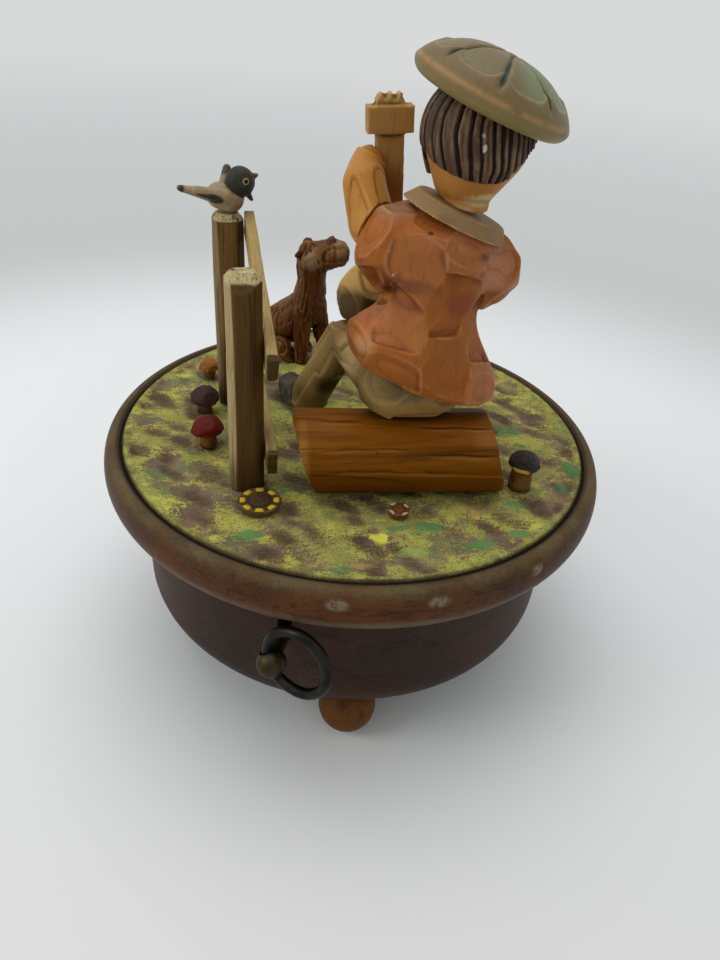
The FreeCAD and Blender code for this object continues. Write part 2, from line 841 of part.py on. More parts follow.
def make_bedplate():
    back, front, side = -size("bedplate_back"), size("bedplate_front"), size("bedplate_side")
    corner = 5
    body = sawn_body("BedplateSawing", [
        (back + corner, -side), (front - corner, -side), (front, -side + corner),
        (front, side - corner), (front - corner, side), (back + corner, side),
        (back, side - corner), (back, -side + corner),
    ], size("bedplate_thickness"), cavity_floor)
    boss = cylinder(size("boss_radius"), size("boss_height") + 1, (0, 0, bedplate_top - 1))
    rest_low = pin_circle + size("comb_clearance") + size("comb_tooth_bass") + 0.2
    rest = block((size("cylinder_start"), rest_low, bedplate_top - 1),
                 (cylinder_end, rest_low + size("comb_rest_depth") - 1, comb_under()))
    holes = [cylinder(size("arbor_radius") + clearance, 10, (0, 0, cavity_floor - 1))]
    for x, y in BEDPLATE_SCREWS:
        holes.append(cylinder(size("screw_radius"), size("bedplate_thickness") + 2, (x, y, cavity_floor - 1)))
    for x, y in comb_screw_places():
        holes.append(cylinder(size("small_screw_radius"), 6, (x, y, comb_under() - 5)))
    for x, y in bridge_screw_places():
        holes.append(cylinder(size("small_screw_radius"), 4, (x, y, cavity_floor)))
    node("bedplate", cut(fuse(body, boss, rest), *holes), turn=movement_turn)
    washer = cut(cylinder(size("boss_radius") - 1, size("washer_thickness"), (0, 0, boss_top)),
                 cylinder(size("arbor_radius") + clearance, 5, (0, 0, boss_top - 1)))
    node("thrust_washer", washer, turn=movement_turn)


def comb_under():
    return cylinder_level - size("comb_thickness") / 2


def comb_screw_places():
    y = pin_circle + size("comb_clearance") + size("comb_tooth_bass") + size("comb_rest_depth") / 2
    return [(size("cylinder_start") + share * cylinder_length, y) for share in (0.15, 0.5, 0.85)]


def bridge_leg():
    """The two faces of the bridge's leg, counted from the barrel's axis."""
    inner = size("crown_outer") + 2.2
    return inner, inner + size("bridge_thickness")


def bridge_screw_places():
    y = bridge_leg()[1] + size("small_screw_radius") * 1.8 + 0.1
    return [(0, y), (0, -y)]


def make_comb():
    """The steel comb: eighteen teeth, longest for the lowest note, sawn from one plate."""
    start, pitch, slit = values(size("cylinder_start"), size("tooth_pitch"), size("tooth_slit"))
    tip, long, short, depth = values(pin_circle + size("comb_clearance"), size("comb_tooth_bass"),
                                     size("comb_tooth_treble"), size("comb_rest_depth"))
    count = int(size("comb_teeth").value)
    under, thickness = values(comb_under(), size("comb_thickness"))
    back = tip + long + depth
    corners = [(start, back)]
    for index in range(count):
        low, high = start + index * pitch, start + (index + 1) * pitch - slit
        gullet = tip + long + (short - long) * index / (count - 1)
        corners += [(low, tip), (high, tip)]
        if index < count - 1:
            corners += [(high, gullet), (high + slit, gullet)]
    corners.append((start + count * pitch - slit, back))
    points = [Vector(x, y, under) for x, y in corners]
    plate = Part.Face(Part.makePolygon(points + points[:1])).extrude(Vector(0, 0, thickness))
    for x, y in comb_screw_places():
        at = Vector(*values(x, y), under - 1)
        plate = plate.cut(Part.makeCylinder(size("small_screw_radius").value, thickness + 2, at))
    node("music_comb", formed(plate, "CombSawing"), turn=movement_turn)
    screws = []
    for x, y in comb_screw_places():
        top = comb_under() + size("comb_thickness")
        head = cylinder(size("small_screw_radius") * 1.9, 1.2, (x, y, top))
        screws.append(fuse(head, cylinder(size("small_screw_radius"), 5, (x, y, top - 4.8))))
    node("comb_screws", *screws, turn=movement_turn)


def make_barrel():
    """Spring barrel: crown wheel, drum, cover and spindle turn together and carry the platform."""
    module, teeth = crown_module.value, int(size("crown_teeth").value)
    inner, outer = values(size("crown_inner"), size("crown_outer"))
    bottom, root_level = values(barrel_bottom, crown_root)
    pitch_level = crown_pitch_level.value
    drum, wall, top = values(size("drum_radius"), size("drum_wall"), drum_top)
    arbor_bore = (size("arbor_radius") + clearance).value
    rim = Part.makeCylinder(outer, root_level - bottom, Vector(0, 0, bottom))
    shell = Part.makeCylinder(drum, top - bottom, Vector(0, 0, bottom))
    hollow = Part.makeCylinder(drum - wall, top - root_level, Vector(0, 0, root_level))
    barrel = rim.fuse(shell).cut(hollow).cut(Part.makeCylinder(arbor_bore, 10, Vector(0, 0, bottom - 1)))
    pitch = math.pi * module
    half_foot, half_pitch, half_top = 0.28 * pitch, 0.19 * pitch, 0.09 * pitch
    high = pitch_level + 0.7 * module
    section = [(-half_foot, root_level - 0.2), (-half_pitch, pitch_level), (-half_top, high),
               (half_top, high), (half_pitch, pitch_level), (half_foot, root_level - 0.2)]
    teeth_solids = []
    for index in range(teeth):
        points = [Vector(inner, y, z) for y, z in section]
        tooth = Part.Face(Part.makePolygon(points + points[:1])).extrude(Vector(outer - inner - 0.1, 0, 0))
        tooth.rotate(Vector(), Vector(0, 0, 1), 360 * (index + 0.5) / teeth)
        teeth_solids.append(tooth)
    barrel = barrel.fuse(teeth_solids).removeSplitter()
    node("spring_barrel", formed(barrel, "BarrelTurning"), turn=movement_turn)
    lid = cylinder(size("drum_radius"), size("cover_thickness"), (0, 0, drum_top))
    bore = cylinder(size("spindle_radius"), 4, (0, 0, drum_top - 1))
    node("barrel_cover", cut(lid, bore), turn=movement_turn)
    spindle_length = platform_under + size("bush_depth") - 0.5 - drum_top
    node("spindle", cylinder(size("spindle_radius"), spindle_length, (0, 0, drum_top)), turn=movement_turn)
    node("mainspring", formed(mainspring(), "SpringCoil"), turn=movement_turn)


def mainspring():
    """The spiral mainspring: half turns whose centres step from side to side by half the pitch."""
    turns, thickness, width = values(size("spring_turns"), size("spring_thickness"), size("spring_width"))
    first = (size("arbor_core_radius") + 0.6).value
    last = (size("drum_radius") - size("drum_wall")).value
    halves = int(2 * turns)
    step = (last - thickness - first) / halves
    inner_edges, outer_edges = [], []
    x_start, side = first, 1
    for _ in range(halves):
        x_end = -side * (abs(x_start) + step)
        for edges, offset in ((inner_edges, 0), (outer_edges, thickness)):
            low, high = x_start + side * offset, x_end - side * offset
            radius = abs(high - low) / 2
            middle = Vector((low + high) / 2, side * radius, 0)
            edges.append(Part.Arc(Vector(low, 0, 0), middle, Vector(high, 0, 0)).toShape())
        x_start, side = x_end, -side
    start_cap = Part.LineSegment(Vector(first, 0, 0), Vector(first + thickness, 0, 0)).toShape()
    end = x_start
    end_cap = Part.LineSegment(Vector(end, 0, 0), Vector(end + math.copysign(thickness, end), 0, 0)).toShape()
    loop = Part.Wire(Part.sortEdges([start_cap, end_cap] + inner_edges + outer_edges)[0])
    level = (drum_top.value + crown_root.value - width) / 2
    strip = Part.Face(loop).extrude(Vector(0, 0, width))
    strip.translate(Vector(0, 0, level))
    least_gap = step * 2 - thickness
    print(f"mainspring: {turns:g} turns, least gap {least_gap:.2f} mm")
    return strip


def make_bridge():
    """The bridge over the barrel, whose bush steadies the spindle."""
    screw_x, screw_y = bridge_screw_places()[0]
    half = size("bridge_width") / 2
    leg_inner, leg_outer = bridge_leg()
    strap = block((-half, -leg_outer, bridge_under), (half, leg_outer, bridge_top))
    legs = [block((-half, low, bedplate_top), (half, high, bridge_top))
            for low, high in ((-leg_outer, -leg_inner), (leg_inner, leg_outer))]
    toe_end = screw_y + size("small_screw_radius") * 1.8
    toes = [block((-half, low, bedplate_top), (half, high, bedplate_top + size("bridge_thickness")))
            for low, high in ((-toe_end, -leg_inner), (leg_inner, toe_end))]
    holes = [cylinder(size("spindle_radius") + clearance, 6, (0, 0, bridge_under - 1))]
    holes += [cylinder(size("small_screw_radius"), 6, (0, y, bedplate_top - 1)) for y in (screw_y, -screw_y)]
    node("barrel_bridge", cut(fuse(strap, *legs, *toes), *holes), turn=movement_turn)
    screws = []
    for x, y in bridge_screw_places():
        top = bedplate_top + size("bridge_thickness")
        head = cylinder(size("small_screw_radius") * 1.8, 1.2, (x, y, top))
        screws.append(fuse(head, cylinder(size("small_screw_radius"), 4, (x, y, top - 3.8))))
    node("bridge_screws", *screws, turn=movement_turn)


def make_arbor_and_key():
    """The winding arbor with its core inside the mainspring, and the butterfly key below."""
    hub_bottom = size("key_floor_gap") + 1.5
    hub_top = hub_bottom + 6.5
    core_low, core_high = crown_root + 0.3, drum_top - 0.8
    shaft = cylinder(size("arbor_radius"), core_high - hub_bottom, (0, 0, hub_bottom))
    core = cylinder(size("arbor_core_radius"), core_high - core_low, (0, 0, core_low))
    node("winding_arbor", fuse(shaft, core))
    hub = cylinder(size("key_hub_radius"), hub_top - hub_bottom, (0, 0, hub_bottom))
    half = size("key_thickness") / 2
    radius, reach = size("key_wing_radius"), size("key_wing_reach")
    level = size("key_floor_gap") + radius
    wings = [cylinder(radius, size("key_thickness"), (side * reach, -half, level), "Y") for side in (-1, 1)]
    web = block((-reach, -half, hub_bottom + 0.5), (reach, half, level + radius / 2))
    bore = cylinder(size("arbor_radius"), hub_top - hub_bottom + 2, (0, 0, hub_bottom))
    node("winding_key", cut(fuse(hub, web, *wings), bore))
    wire, turns = values(size("click_wire"), size("click_turns"))
    inner = (size("arbor_radius") + clearance).value
    pitch = wire * 1.15
    base = (cavity_floor.value - pitch * turns - wire)
    helix = Part.makeHelix(pitch, pitch * turns, inner + wire / 2)
    middle, half = inner + wire / 2, wire / 2
    square = ((-1, -1), (1, -1), (1, 1), (-1, 1), (-1, -1))
    corners = [Vector(middle + u * half, 0, v * half) for u, v in square]
    coil = Part.Wire(helix).makePipeShell([Part.makePolygon(corners)], True, True)
    coil.translate(Vector(0, 0, base))
    node("click_spring", formed(coil, "ClickCoil"))


PINS_ON_TRACK = 4


def make_cylinder():
    """The pinned brass cylinder with its shaft, pinion and great wheel."""
    start, length, radius, bore = values(size("cylinder_start"), cylinder_length,
                                         size("cylinder_radius"), size("cylinder_bore"))
    level = cylinder_level.value
    shaft = size("cylinder_shaft_radius").value
    along = Vector(1, 0, 0)
    barrel = Part.makeCylinder(radius, length, Vector(start, 0, level), along)
    hollow = Part.makeCylinder(bore, length - 2.4, Vector(start + 1.2, 0, level), along)
    bore_through = Part.makeCylinder(shaft, length + 2, Vector(start - 1, 0, level), along)
    barrel = barrel.cut(hollow).cut(bore_through)
    pin, height = values(size("pin_width"), size("pin_height"))
    pitch, slit = values(size("tooth_pitch"), size("tooth_slit"))
    pins = []
    for track in range(int(size("comb_teeth").value)):
        x = start + track * pitch + (pitch - slit) / 2
        for index in range(PINS_ON_TRACK):
            turn = (track * 47 + index * 360 / PINS_ON_TRACK + (track * index * 13) % 41) % 360
            post = Part.makeBox(pin, pin, height + 0.3, Vector(x - pin / 2, -pin / 2, radius - 0.3))
            post.rotate(Vector(), along, turn)
            post.translate(Vector(0, 0, level))
            pins.append(post)
    node("music_cylinder", formed(barrel.fuse(pins), "CylinderPinning"), turn=movement_turn)
    pinion_low, pinion_high = (size("crown_inner") - 0.2).value, (size("crown_outer") + 0.2).value
    bracket_end = (wheel_end + size("bracket_gap") + size("bracket_thickness")).value
    rod = Part.makeCylinder(shaft, bracket_end - pinion_low, Vector(pinion_low, 0, level), along)
    node("cylinder_shaft", formed(rod, "CylinderShaft"), turn=movement_turn)
    pinion = gear(size("pinion_teeth").value, crown_module.value, pinion_high - pinion_low,
                  pinion_low, (0, level), -90, shaft)
    node("cylinder_pinion", formed(pinion, "PinionCutting"), turn=movement_turn)
    wheel = gear(size("wheel_teeth").value, size("governor_module").value, size("wheel_thickness").value,
                 wheel_start.value, (0, level), 180, shaft)
    node("great_wheel", formed(wheel, "WheelCutting"), turn=movement_turn)


def make_brackets():
    """Two brass brackets that carry the cylinder's shaft."""
    half = size("bracket_width") / 2
    inner_end = size("cylinder_start") - size("bracket_gap")
    outer_start = wheel_end + size("bracket_gap")
    spans = {"inner_bracket": (inner_end - size("bracket_thickness"), inner_end),
             "outer_bracket": (outer_start, outer_start + size("bracket_thickness"))}
    for name, (low, high) in spans.items():
        cheek = block((low, -half, bedplate_top), (high, half, cylinder_level + 3))
        bore = cylinder(size("cylinder_shaft_radius") + clearance, 4, (low - 1, 0, cylinder_level), "X")
        node(name, cut(cheek, bore), turn=movement_turn)


def make_governor():
    """Worm wheel, worm and two bladed air brake, in a brass frame beside the cylinder."""
    level = cylinder_level
    shaft = size("governor_shaft_radius")
    wheel_low = size("governor_at") - size("worm_wheel_thickness") / 2
    inner_low = wheel_low - 3.2
    inner_high = inner_low + 1.2
    outer_low = wheel_end + 0.8
    outer_high = outer_low + 1.2
    frame_side, frame_edge = worm_axis - 2.6, governor_axis + 1.5
    base_top = bedplate_top + 1.5
    arm_low = level + 3.2
    arm_high = arm_low + size("governor_arm")
    arm_edge = worm_axis + 1.4
    base = block((inner_low, frame_side, bedplate_top), (outer_high, frame_edge, base_top))
    inner_cheek = block((inner_low, frame_side, bedplate_top), (inner_high, frame_edge, arm_high))
    outer_cheek = block((outer_low, governor_axis - 2.2, bedplate_top), (outer_high, frame_edge, level + 2.2))
    arm = block((inner_low, frame_side, arm_low), (size("governor_at") + 1.6, arm_edge, arm_high))
    foot = block((size("governor_at") - 1.6, worm_axis - 1.6, bedplate_top),
                 (size("governor_at") + 1.6, worm_axis + 1.6, base_top + 1.5))
    bore = shaft + clearance
    holes = [cylinder(bore, outer_high - inner_low + 2, (inner_low - 1, governor_axis, level), "X"),
             cylinder(bore, arm_high, (size("governor_at"), worm_axis, base_top))]
    node("governor_frame", cut(fuse(base, inner_cheek, outer_cheek, arm, foot), *holes), turn=movement_turn)

    pinion_low = wheel_start.value - 0.1
    rod = cylinder(shaft, outer_high - inner_low, (inner_low, governor_axis, level), "X")
    pinion = gear(size("governor_pinion_teeth").value, size("governor_module").value,
                  size("wheel_thickness").value + 0.2, pinion_low, values(governor_axis, level), 15, 0.3)
    node("governor_pinion", fuse(rod, formed(pinion, "GovernorPinion")), turn=movement_turn)
    worm_wheel = gear(size("worm_wheel_teeth").value, size("worm_module").value,
                      size("worm_wheel_thickness").value, wheel_low.value, values(governor_axis, level),
                      180, shaft.value)
    node("worm_wheel", formed(worm_wheel, "WormWheel"), turn=movement_turn)
    node("governor_worm", formed(worm_screw(), "WormThread"), turn=movement_turn)

    fan_low = arm_high + 0.4
    fan_high = rod_level - size("tip_radius") - 0.6
    x, y, radius = size("governor_at"), worm_axis, size("fan_radius")
    half = size("fan_thickness") / 2
    wings = block((x - radius, y - half, fan_low), (x + radius, y + half, fan_high))
    hub = cylinder(size("brake_radius") * 0.7, fan_high - fan_low, (x, y, fan_low))
    brake = cylinder(size("brake_radius"), 3 * size("tip_radius") + 0.6 + 0.3, (x, y, fan_high))
    hole = cylinder(shaft, 12, (x, y, fan_low - 1))
    node("air_brake", cut(fuse(wings, hub, brake), hole), turn=movement_turn)


def worm_screw():
    """The governor's upright shaft with one right hand thread at the worm wheel's height."""
    lead, pitch_radius, module = values(worm_lead, size("worm_radius"), size("worm_module"))
    shaft, level = values(size("governor_shaft_radius"), cylinder_level)
    low = (bedplate_top + 1.5).value
    high = (rod_level + 2 * size("tip_radius")).value
    root_radius, tip_radius = pitch_radius - 1.0 * module, pitch_radius + 0.75 * module
    turns = 3
    height = lead * turns
    # The thread's middle passes half a lead above and below the worm wheel's axis, where the tooth is
    start = level - height / 2
    half_root, half_tip = 0.22 * lead, 0.1 * lead
    section = [Vector(root_radius - 0.15, 0, -half_root), Vector(tip_radius, 0, -half_tip),
               Vector(tip_radius, 0, half_tip), Vector(root_radius - 0.15, 0, half_root)]
    profile = Part.makePolygon(section + section[:1])
    helix = Part.makeHelix(lead, height, pitch_radius)
    thread = Part.Wire(helix).makePipeShell([profile], True, True)
    thread.rotate(Vector(), Vector(0, 0, 1), 90)
    thread.translate(Vector(*values(size("governor_at"), worm_axis), start))
    x, y = values(size("governor_at"), worm_axis)
    core = Part.makeCylinder(root_radius, height + lead / 2, Vector(x, y, start - lead / 4))
    post = Part.makeCylinder(shaft, high - low, Vector(x, y, low))
    return post.fuse(core).fuse(thread)


# The scene on the platform, in the scene's frame


@functools.cache
def log_blank():
    """The log before it is cut: a round of wood lying along X, its ends sawn on the slant."""
    centre = ground + size("log_radius") - size("log_flat")
    half = size("log_length") / 2
    reach = size("log_length")
    radius = size("log_radius")
    bark = cylinder(radius, 2 * reach, (size("log_x") - reach, size("log_y"), centre), "X")
    slant = Rotation(Vector(0, 1, 0), -size("log_slant").value)
    across = half * cosine(size("log_slant"))
    # The slanted saw cuts are the two sides of a box that leans about the log's middle
    drop = 3 * radius
    low = (size("log_x") - across * cosine(size("log_slant")) + drop * sine(size("log_slant")),
           size("log_y") - 2 * radius,
           centre - across * sine(size("log_slant")) - drop * cosine(size("log_slant")))
    sawn = primitive("Box", low, slant, Length=2 * across, Width=4 * radius, Height=2 * drop)
    above = block((size("log_x") - reach, size("log_y") - radius, ground),
                  (size("log_x") + reach, size("log_y") + radius, ground + 2 * radius))
    return common(bark, sawn, above)


def seat_point():
    return (size("boy_x"), size("log_y"), ground + 2 * size("log_radius") - size("log_flat"))


def figure(name):
    return place(name, seat_point())


def chain(*stops):
    """A limb through balls: each stop is a place and a radius, and cones join the balls."""
    limb = None
    for (start, start_radius), (end, end_radius) in zip(stops, stops[1:]):
        a, b = vector(start), vector(end)
        r, q = values(start_radius, end_radius)
        axis = b - a
        distance = axis.Length
        lean = (r - q) / distance
        rise = math.sqrt(1 - lean * lean)
        foot, head = a + axis * (r * lean / distance), b + axis * (q * lean / distance)
        if abs(r - q) < 1e-6:
            bone = Part.makeCylinder(r, distance, a, axis)
        else:
            bone = Part.makeCone(r * rise, q * rise, (head - foot).Length, foot, axis)
        pieces = [bone, Part.makeSphere(q, b)]
        limb = Part.makeSphere(r, a).fuse(pieces) if limb is None else limb.fuse(pieces)
    return limb.removeSplitter()


def limb(label, *stops):
    """A limb of the boy through balls at named places, each with its radius."""
    return formed(chain(*((figure(name), radius) for name, radius in stops)), label)


def ellipse_wire(at, across, deep, lean):
    """An ellipse across a trunk, leaned about Y so that its left side rises."""
    across, deep, lean = values(across, deep, lean)
    tilt = math.radians(lean)
    right = Vector(math.cos(tilt), 0, -math.sin(tilt))
    up = Vector(math.sin(tilt), 0, math.cos(tilt))
    centre = vector(at)
    long, short = right * across, Vector(0, deep, 0)
    if across < deep:
        long, short = short, -long
    curve = Part.Ellipse(centre + long, centre + short, centre)
    edge = curve.toShape()
    if edge.Curve.Axis.dot(up) < 0:
        edge.reverse()
    return Part.Wire([edge])


def trunk(*sections):
    """A smooth trunk through leaned ellipses, each a place, two half sizes and a lean."""
    return Part.makeLoft([ellipse_wire(*section) for section in sections], True, False)


@functools.cache
def trousers_blank():
    x, y, z = figure("hips")
    side = size("hips_across") - size("hips_radius")
    radius = size("hips_radius")
    hips = formed(chain(((x - side, y, z), radius), ((x + side, y, z), radius)), "Hips")
    legs = [limb("Leg", (f"{side}_hip", size("thigh_radius")), (f"{side}_knee", size("knee_radius")),
                 (f"{side}_ankle", size("cuff_radius"))) for side in ("left", "right")]
    return fuse(hips, *legs)


@functools.cache
def jacket_blank():
    body = trunk(*((figure(name), size(f"{name}_across"), size(f"{name}_deep"), size(f"{name}_lean"))
                   for name in ("hem", "skirt", "waist", "chest", "shoulders")))
    sleeve = size("sleeve_radius")
    left = limb("LeftSleeve", ("left_shoulder", sleeve), ("left_sleeve", sleeve))
    right = limb("RightSleeve", ("right_shoulder", sleeve), ("right_sleeve", sleeve),
                 ("right_elbow", size("elbow_radius")), ("right_wrist", size("wrist_radius")))
    yoke = limb("Yoke", ("left_shoulder", sleeve), ("yoke", size("yoke_radius")), ("right_shoulder", sleeve))
    return fuse(formed(body, "JacketTrunk"), yoke, left, right)


def collar_top():
    lean = size("shoulders_lean")
    thickness = size("collar_thickness")
    x, y, z = figure("shoulders")
    return (x + thickness * sine(lean), y, z + thickness * cosine(lean))


@functools.cache
def collar_plate():
    across, deep, lean = size("collar_across"), size("collar_deep"), size("shoulders_lean")
    taper = size("collar_taper")
    plate = trunk((figure("shoulders"), across, deep, lean),
                  (collar_top(), across * taper, deep * taper, lean))
    return formed(plate, "CollarPlate")


@functools.cache
def head_blank():
    """Head and neck, carved in one piece that is pegged into the collar."""
    x, y, z = figure("head")
    neck = formed(neck_cone(), "Neck")
    nose = sphere(size("nose_radius"), (x, y + size("head_radius"), z - size("head_radius") * 0.25))
    return fuse(skull_egg(measure(0)), neck, nose)


def skull_egg(extra):
    """The head's egg, two balls and the bone between them, grown by an extra thickness."""
    x, y, z = figure("head")
    drop, lean = size("jaw_drop"), size("head_lean")
    jaw = (x - drop * sine(lean), y, z - drop * cosine(lean))
    return formed(chain((jaw, size("jaw_radius") + extra), ((x, y, z), size("head_radius") + extra)), "Egg")


def neck_cone():
    foot, head = vector(collar_top()), vector(figure("head"))
    radius = size("neck_radius").value
    return Part.makeCone(radius * 1.1, radius * 0.9, (head - foot).Length, foot, head - foot)


@functools.cache
def hair_cap():
    """The outer form of the hair before the face and the nape are cut free."""
    return skull_egg(size("hair_thickness"))


@functools.cache
def hair_blank():
    x, y, z = figure("head")
    cap = hair_cap()
    reach = size("head_radius") * 2
    face = block((x - reach, y + size("head_radius") * 0.3, z - reach), (x + reach, y + reach, z + reach))
    nape = block((x - reach, y - reach, z - reach), (x + reach, y + reach, z - size("nape_drop")))
    return cut(cap, face, nape)


@functools.cache
def beret_blank():
    """A domed cap over a rolled brim, turned from one profile and set on the head at a lean."""
    radius, crown, brim = values(size("beret_radius"), size("beret_crown"), size("beret_brim"))
    rim, top, under = Vector(radius, 0, 0), Vector(0, 0, crown), Vector(radius - brim, 0, -brim)
    turn = math.radians(size("beret_shoulder").value)
    shoulder = Vector(radius * math.sin(turn), 0, crown * math.cos(turn))
    roll = Vector(radius - brim * (1 - math.sqrt(0.5)), 0, -brim * math.sqrt(0.5))
    edges = [Part.Arc(top, shoulder, rim).toShape(), Part.Arc(rim, roll, under).toShape(),
             Part.LineSegment(under, Vector(0, 0, -brim)).toShape(),
             Part.LineSegment(Vector(0, 0, -brim), top).toShape()]
    cap = Part.Face(Part.Wire(edges)).revolve(Vector(), Vector(0, 0, 1), 360)
    cap.rotate(Vector(), Vector(1, 0, 0), size("beret_back_lean").value)
    cap.rotate(Vector(), Vector(0, 1, 0), size("beret_lean").value)
    cap.translate(vector(figure("beret")))
    return formed(cap, "BeretTurning")


@functools.cache
def lute_neck_blank():
    """The lute's neck and its peg block, leaning with the boy's left hand."""
    lean = size("lute_neck_lean")
    tilt = Rotation(Vector(0, 1, 0), -lean.value)
    top_x, top_y, top_z = figure("lute_nut")
    width, thickness, length = size("lute_neck_width"), size("lute_neck_thickness"), size("lute_neck_length")

    def bar(bar_width, bar_thickness, below_low, below_high):
        """A bar centred on the neck's line, between two distances below its top."""
        half = bar_width / 2
        low = (top_x + below_low * sine(lean) - half * cosine(lean), top_y - bar_thickness / 2,
               top_z - below_low * cosine(lean) - half * sine(lean))
        return primitive("Box", low, tilt, Length=bar_width, Width=bar_thickness,
                         Height=below_low - below_high)

    drop = size("peg_block_drop")
    block_low = size("peg_block_height") + drop
    return fuse(bar(width, thickness, length, measure(0)),
                bar(size("peg_block_width"), size("peg_block_thickness"), block_low, drop))


@functools.cache
def lute_body_blank():
    """The lute's body: a round back turned about Y behind a flat soundboard."""
    radius, deep, face = values(size("lute_radius"), size("lute_deep"), size("lute_face"))
    back = Vector(0, -deep, 0)
    turn = math.radians(size("lute_shoulder").value)
    shoulder = Vector(radius * math.sin(turn), -deep * math.cos(turn), 0)
    rim = Vector(radius, 0, 0)
    front, middle = Vector(radius, face, 0), Vector(0, face, 0)
    edges = [Part.Arc(back, shoulder, rim).toShape(), Part.LineSegment(rim, front).toShape(),
             Part.LineSegment(front, middle).toShape(), Part.LineSegment(middle, back).toShape()]
    bowl = Part.Face(Part.Wire(edges)).revolve(Vector(), Vector(0, 1, 0), 360)
    bowl.translate(vector(figure("lute_heart")))
    return formed(bowl, "LuteTurning")


def make_boy():
    turned = {"turn": scene_turn}
    node("trousers", cut(trousers_blank(), log_blank(), below_ground()), **turned)
    node("jacket", cut(jacket_blank(), trousers_blank()), **turned)
    for side in ("left", "right"):
        last = limb("ShoeLast", (f"{side}_heel", size("shoe_radius")), (f"{side}_toe", size("toe_radius")))
        node(f"{side}_shoe", cut(last, trousers_blank(), below_ground()), **turned)
    arm = limb("LeftArm", ("left_elbow", size("elbow_radius")), ("left_forearm", size("forearm_radius")),
               ("left_wrist", size("wrist_radius")), ("left_hand", size("hand_radius")))
    node("left_arm", cut(arm, jacket_blank(), lute_neck_blank()), **turned)
    hand = limb("RightHand", ("right_hand", size("palm_radius")), ("right_fingers", size("finger_radius")))
    clothes = (jacket_blank(), trousers_blank())
    node("right_hand", cut(hand, *clothes, lute_body_blank(), lute_neck_blank()), **turned)
    node("collar", cut(collar_plate(), jacket_blank()), **turned)
    node("head", cut(head_blank(), collar_plate(), beret_blank()), **turned)
    node("hair", cut(hair_blank(), head_blank(), beret_blank()), **turned)
    node("beret", beret_blank(), **turned)
    node("lute_body", cut(lute_body_blank(), *clothes, lute_neck_blank()), **turned)
    node("lute_neck", cut(lute_neck_blank(), jacket_blank()), **turned)


@functools.cache
def below_ground():
    reach = platform_radius
    return block((-reach, -reach, 0), (reach, reach, ground))


def make_fence():
    x, y = size("fence_x"), size("fence_y")
    turn = scene_turn + size("fence_turn")
    origin = (x * cosine(scene_turn) - y * sine(scene_turn), x * sine(scene_turn) + y * cosine(scene_turn), 0)
    half, deep, bevel = size("post_width") / 2, size("post_depth") / 2, size("post_chamfer")
    for name, along in (("near_post", measure(0)), ("far_post", size("post_spacing"))):
        corners = [(half - bevel, -deep), (half, -deep + bevel), (half, deep - bevel), (half - bevel, deep)]
        corners += [(-u, -v) for u, v in corners]
        body = sawn_body(name.title().replace("_", ""), [(u, along + v) for u, v in corners],
                         size("post_height"), ground)
        top = (ground + size("post_height")).value
        round_edges(body, size("post_crown"),
                    lambda edge: abs(edge.BoundBox.ZMin - top) < 0.01, "Chamfer")
        node(name, body, turn=turn, at=origin)
    for name in ("upper_rail", "lower_rail"):
        slope = size(f"{name}_slope")
        rotation = Rotation(Vector(1, 0, 0), slope.value)
        start = (half, -size("rail_overhang"), ground + size("post_height") - size(f"{name}_drop"))
        rail = primitive("Box", start, rotation, Length=size("rail_thickness"),
                         Width=size(f"{name}_length"), Height=size("rail_width"))
        node(name, rail, turn=turn, at=origin)
    make_bird(turn, origin)


def make_bird(turn, origin):
    """The bird on the far post, beak open, one wing lifted."""
    perch = (measure(0), size("post_spacing"), ground + size("post_height"))
    body_at, skull = place("bird_body", perch), place("bird_skull", perch)
    across = size("bird_body_across")
    half_body = size("bird_body_long") - across
    rump = (body_at[0] - half_body, body_at[1], body_at[2] + 0.6)
    breast = (body_at[0] + half_body, body_at[1], body_at[2])
    body = formed(chain((rump, across * 0.9), (breast, across)), "BirdBody")
    head = sphere(size("bird_head_radius"), skull)
    tail = formed(chain((body_at, across * 0.6), (place("bird_tail", perch), size("bird_tail_tip"))), "Tail")
    root = (skull, size("bird_beak_root"))
    beaks = [formed(chain(root, (place(name, perch), size("bird_beak_tip"))), "Beak")
             for name in ("bird_upper_beak", "bird_lower_beak")]
    wings = []
    for side, tip in ((-1, "bird_folded_tip"), (1, "bird_lifted_tip")):
        x, _, z = place("bird_wing", perch)
        tip_x, _, tip_z = place(tip, perch)
        radius = size("bird_wing_radius")
        shoulder = (x, perch[1] + side * size("bird_wing_y"), z)
        end = (tip_x, perch[1] + side * size(f"{tip}_y"), tip_z)
        wings.append(formed(chain((shoulder, radius), (end, radius * size("bird_wing_taper"))), "Wing"))
    reach = size("bird_body_long") * 3
    below = block((-reach, perch[1] - reach, perch[2] - reach), (reach, perch[1] + reach, perch[2]))
    node("bird", cut(fuse(body, head, tail, *beaks, *wings), below), turn=turn, at=origin)


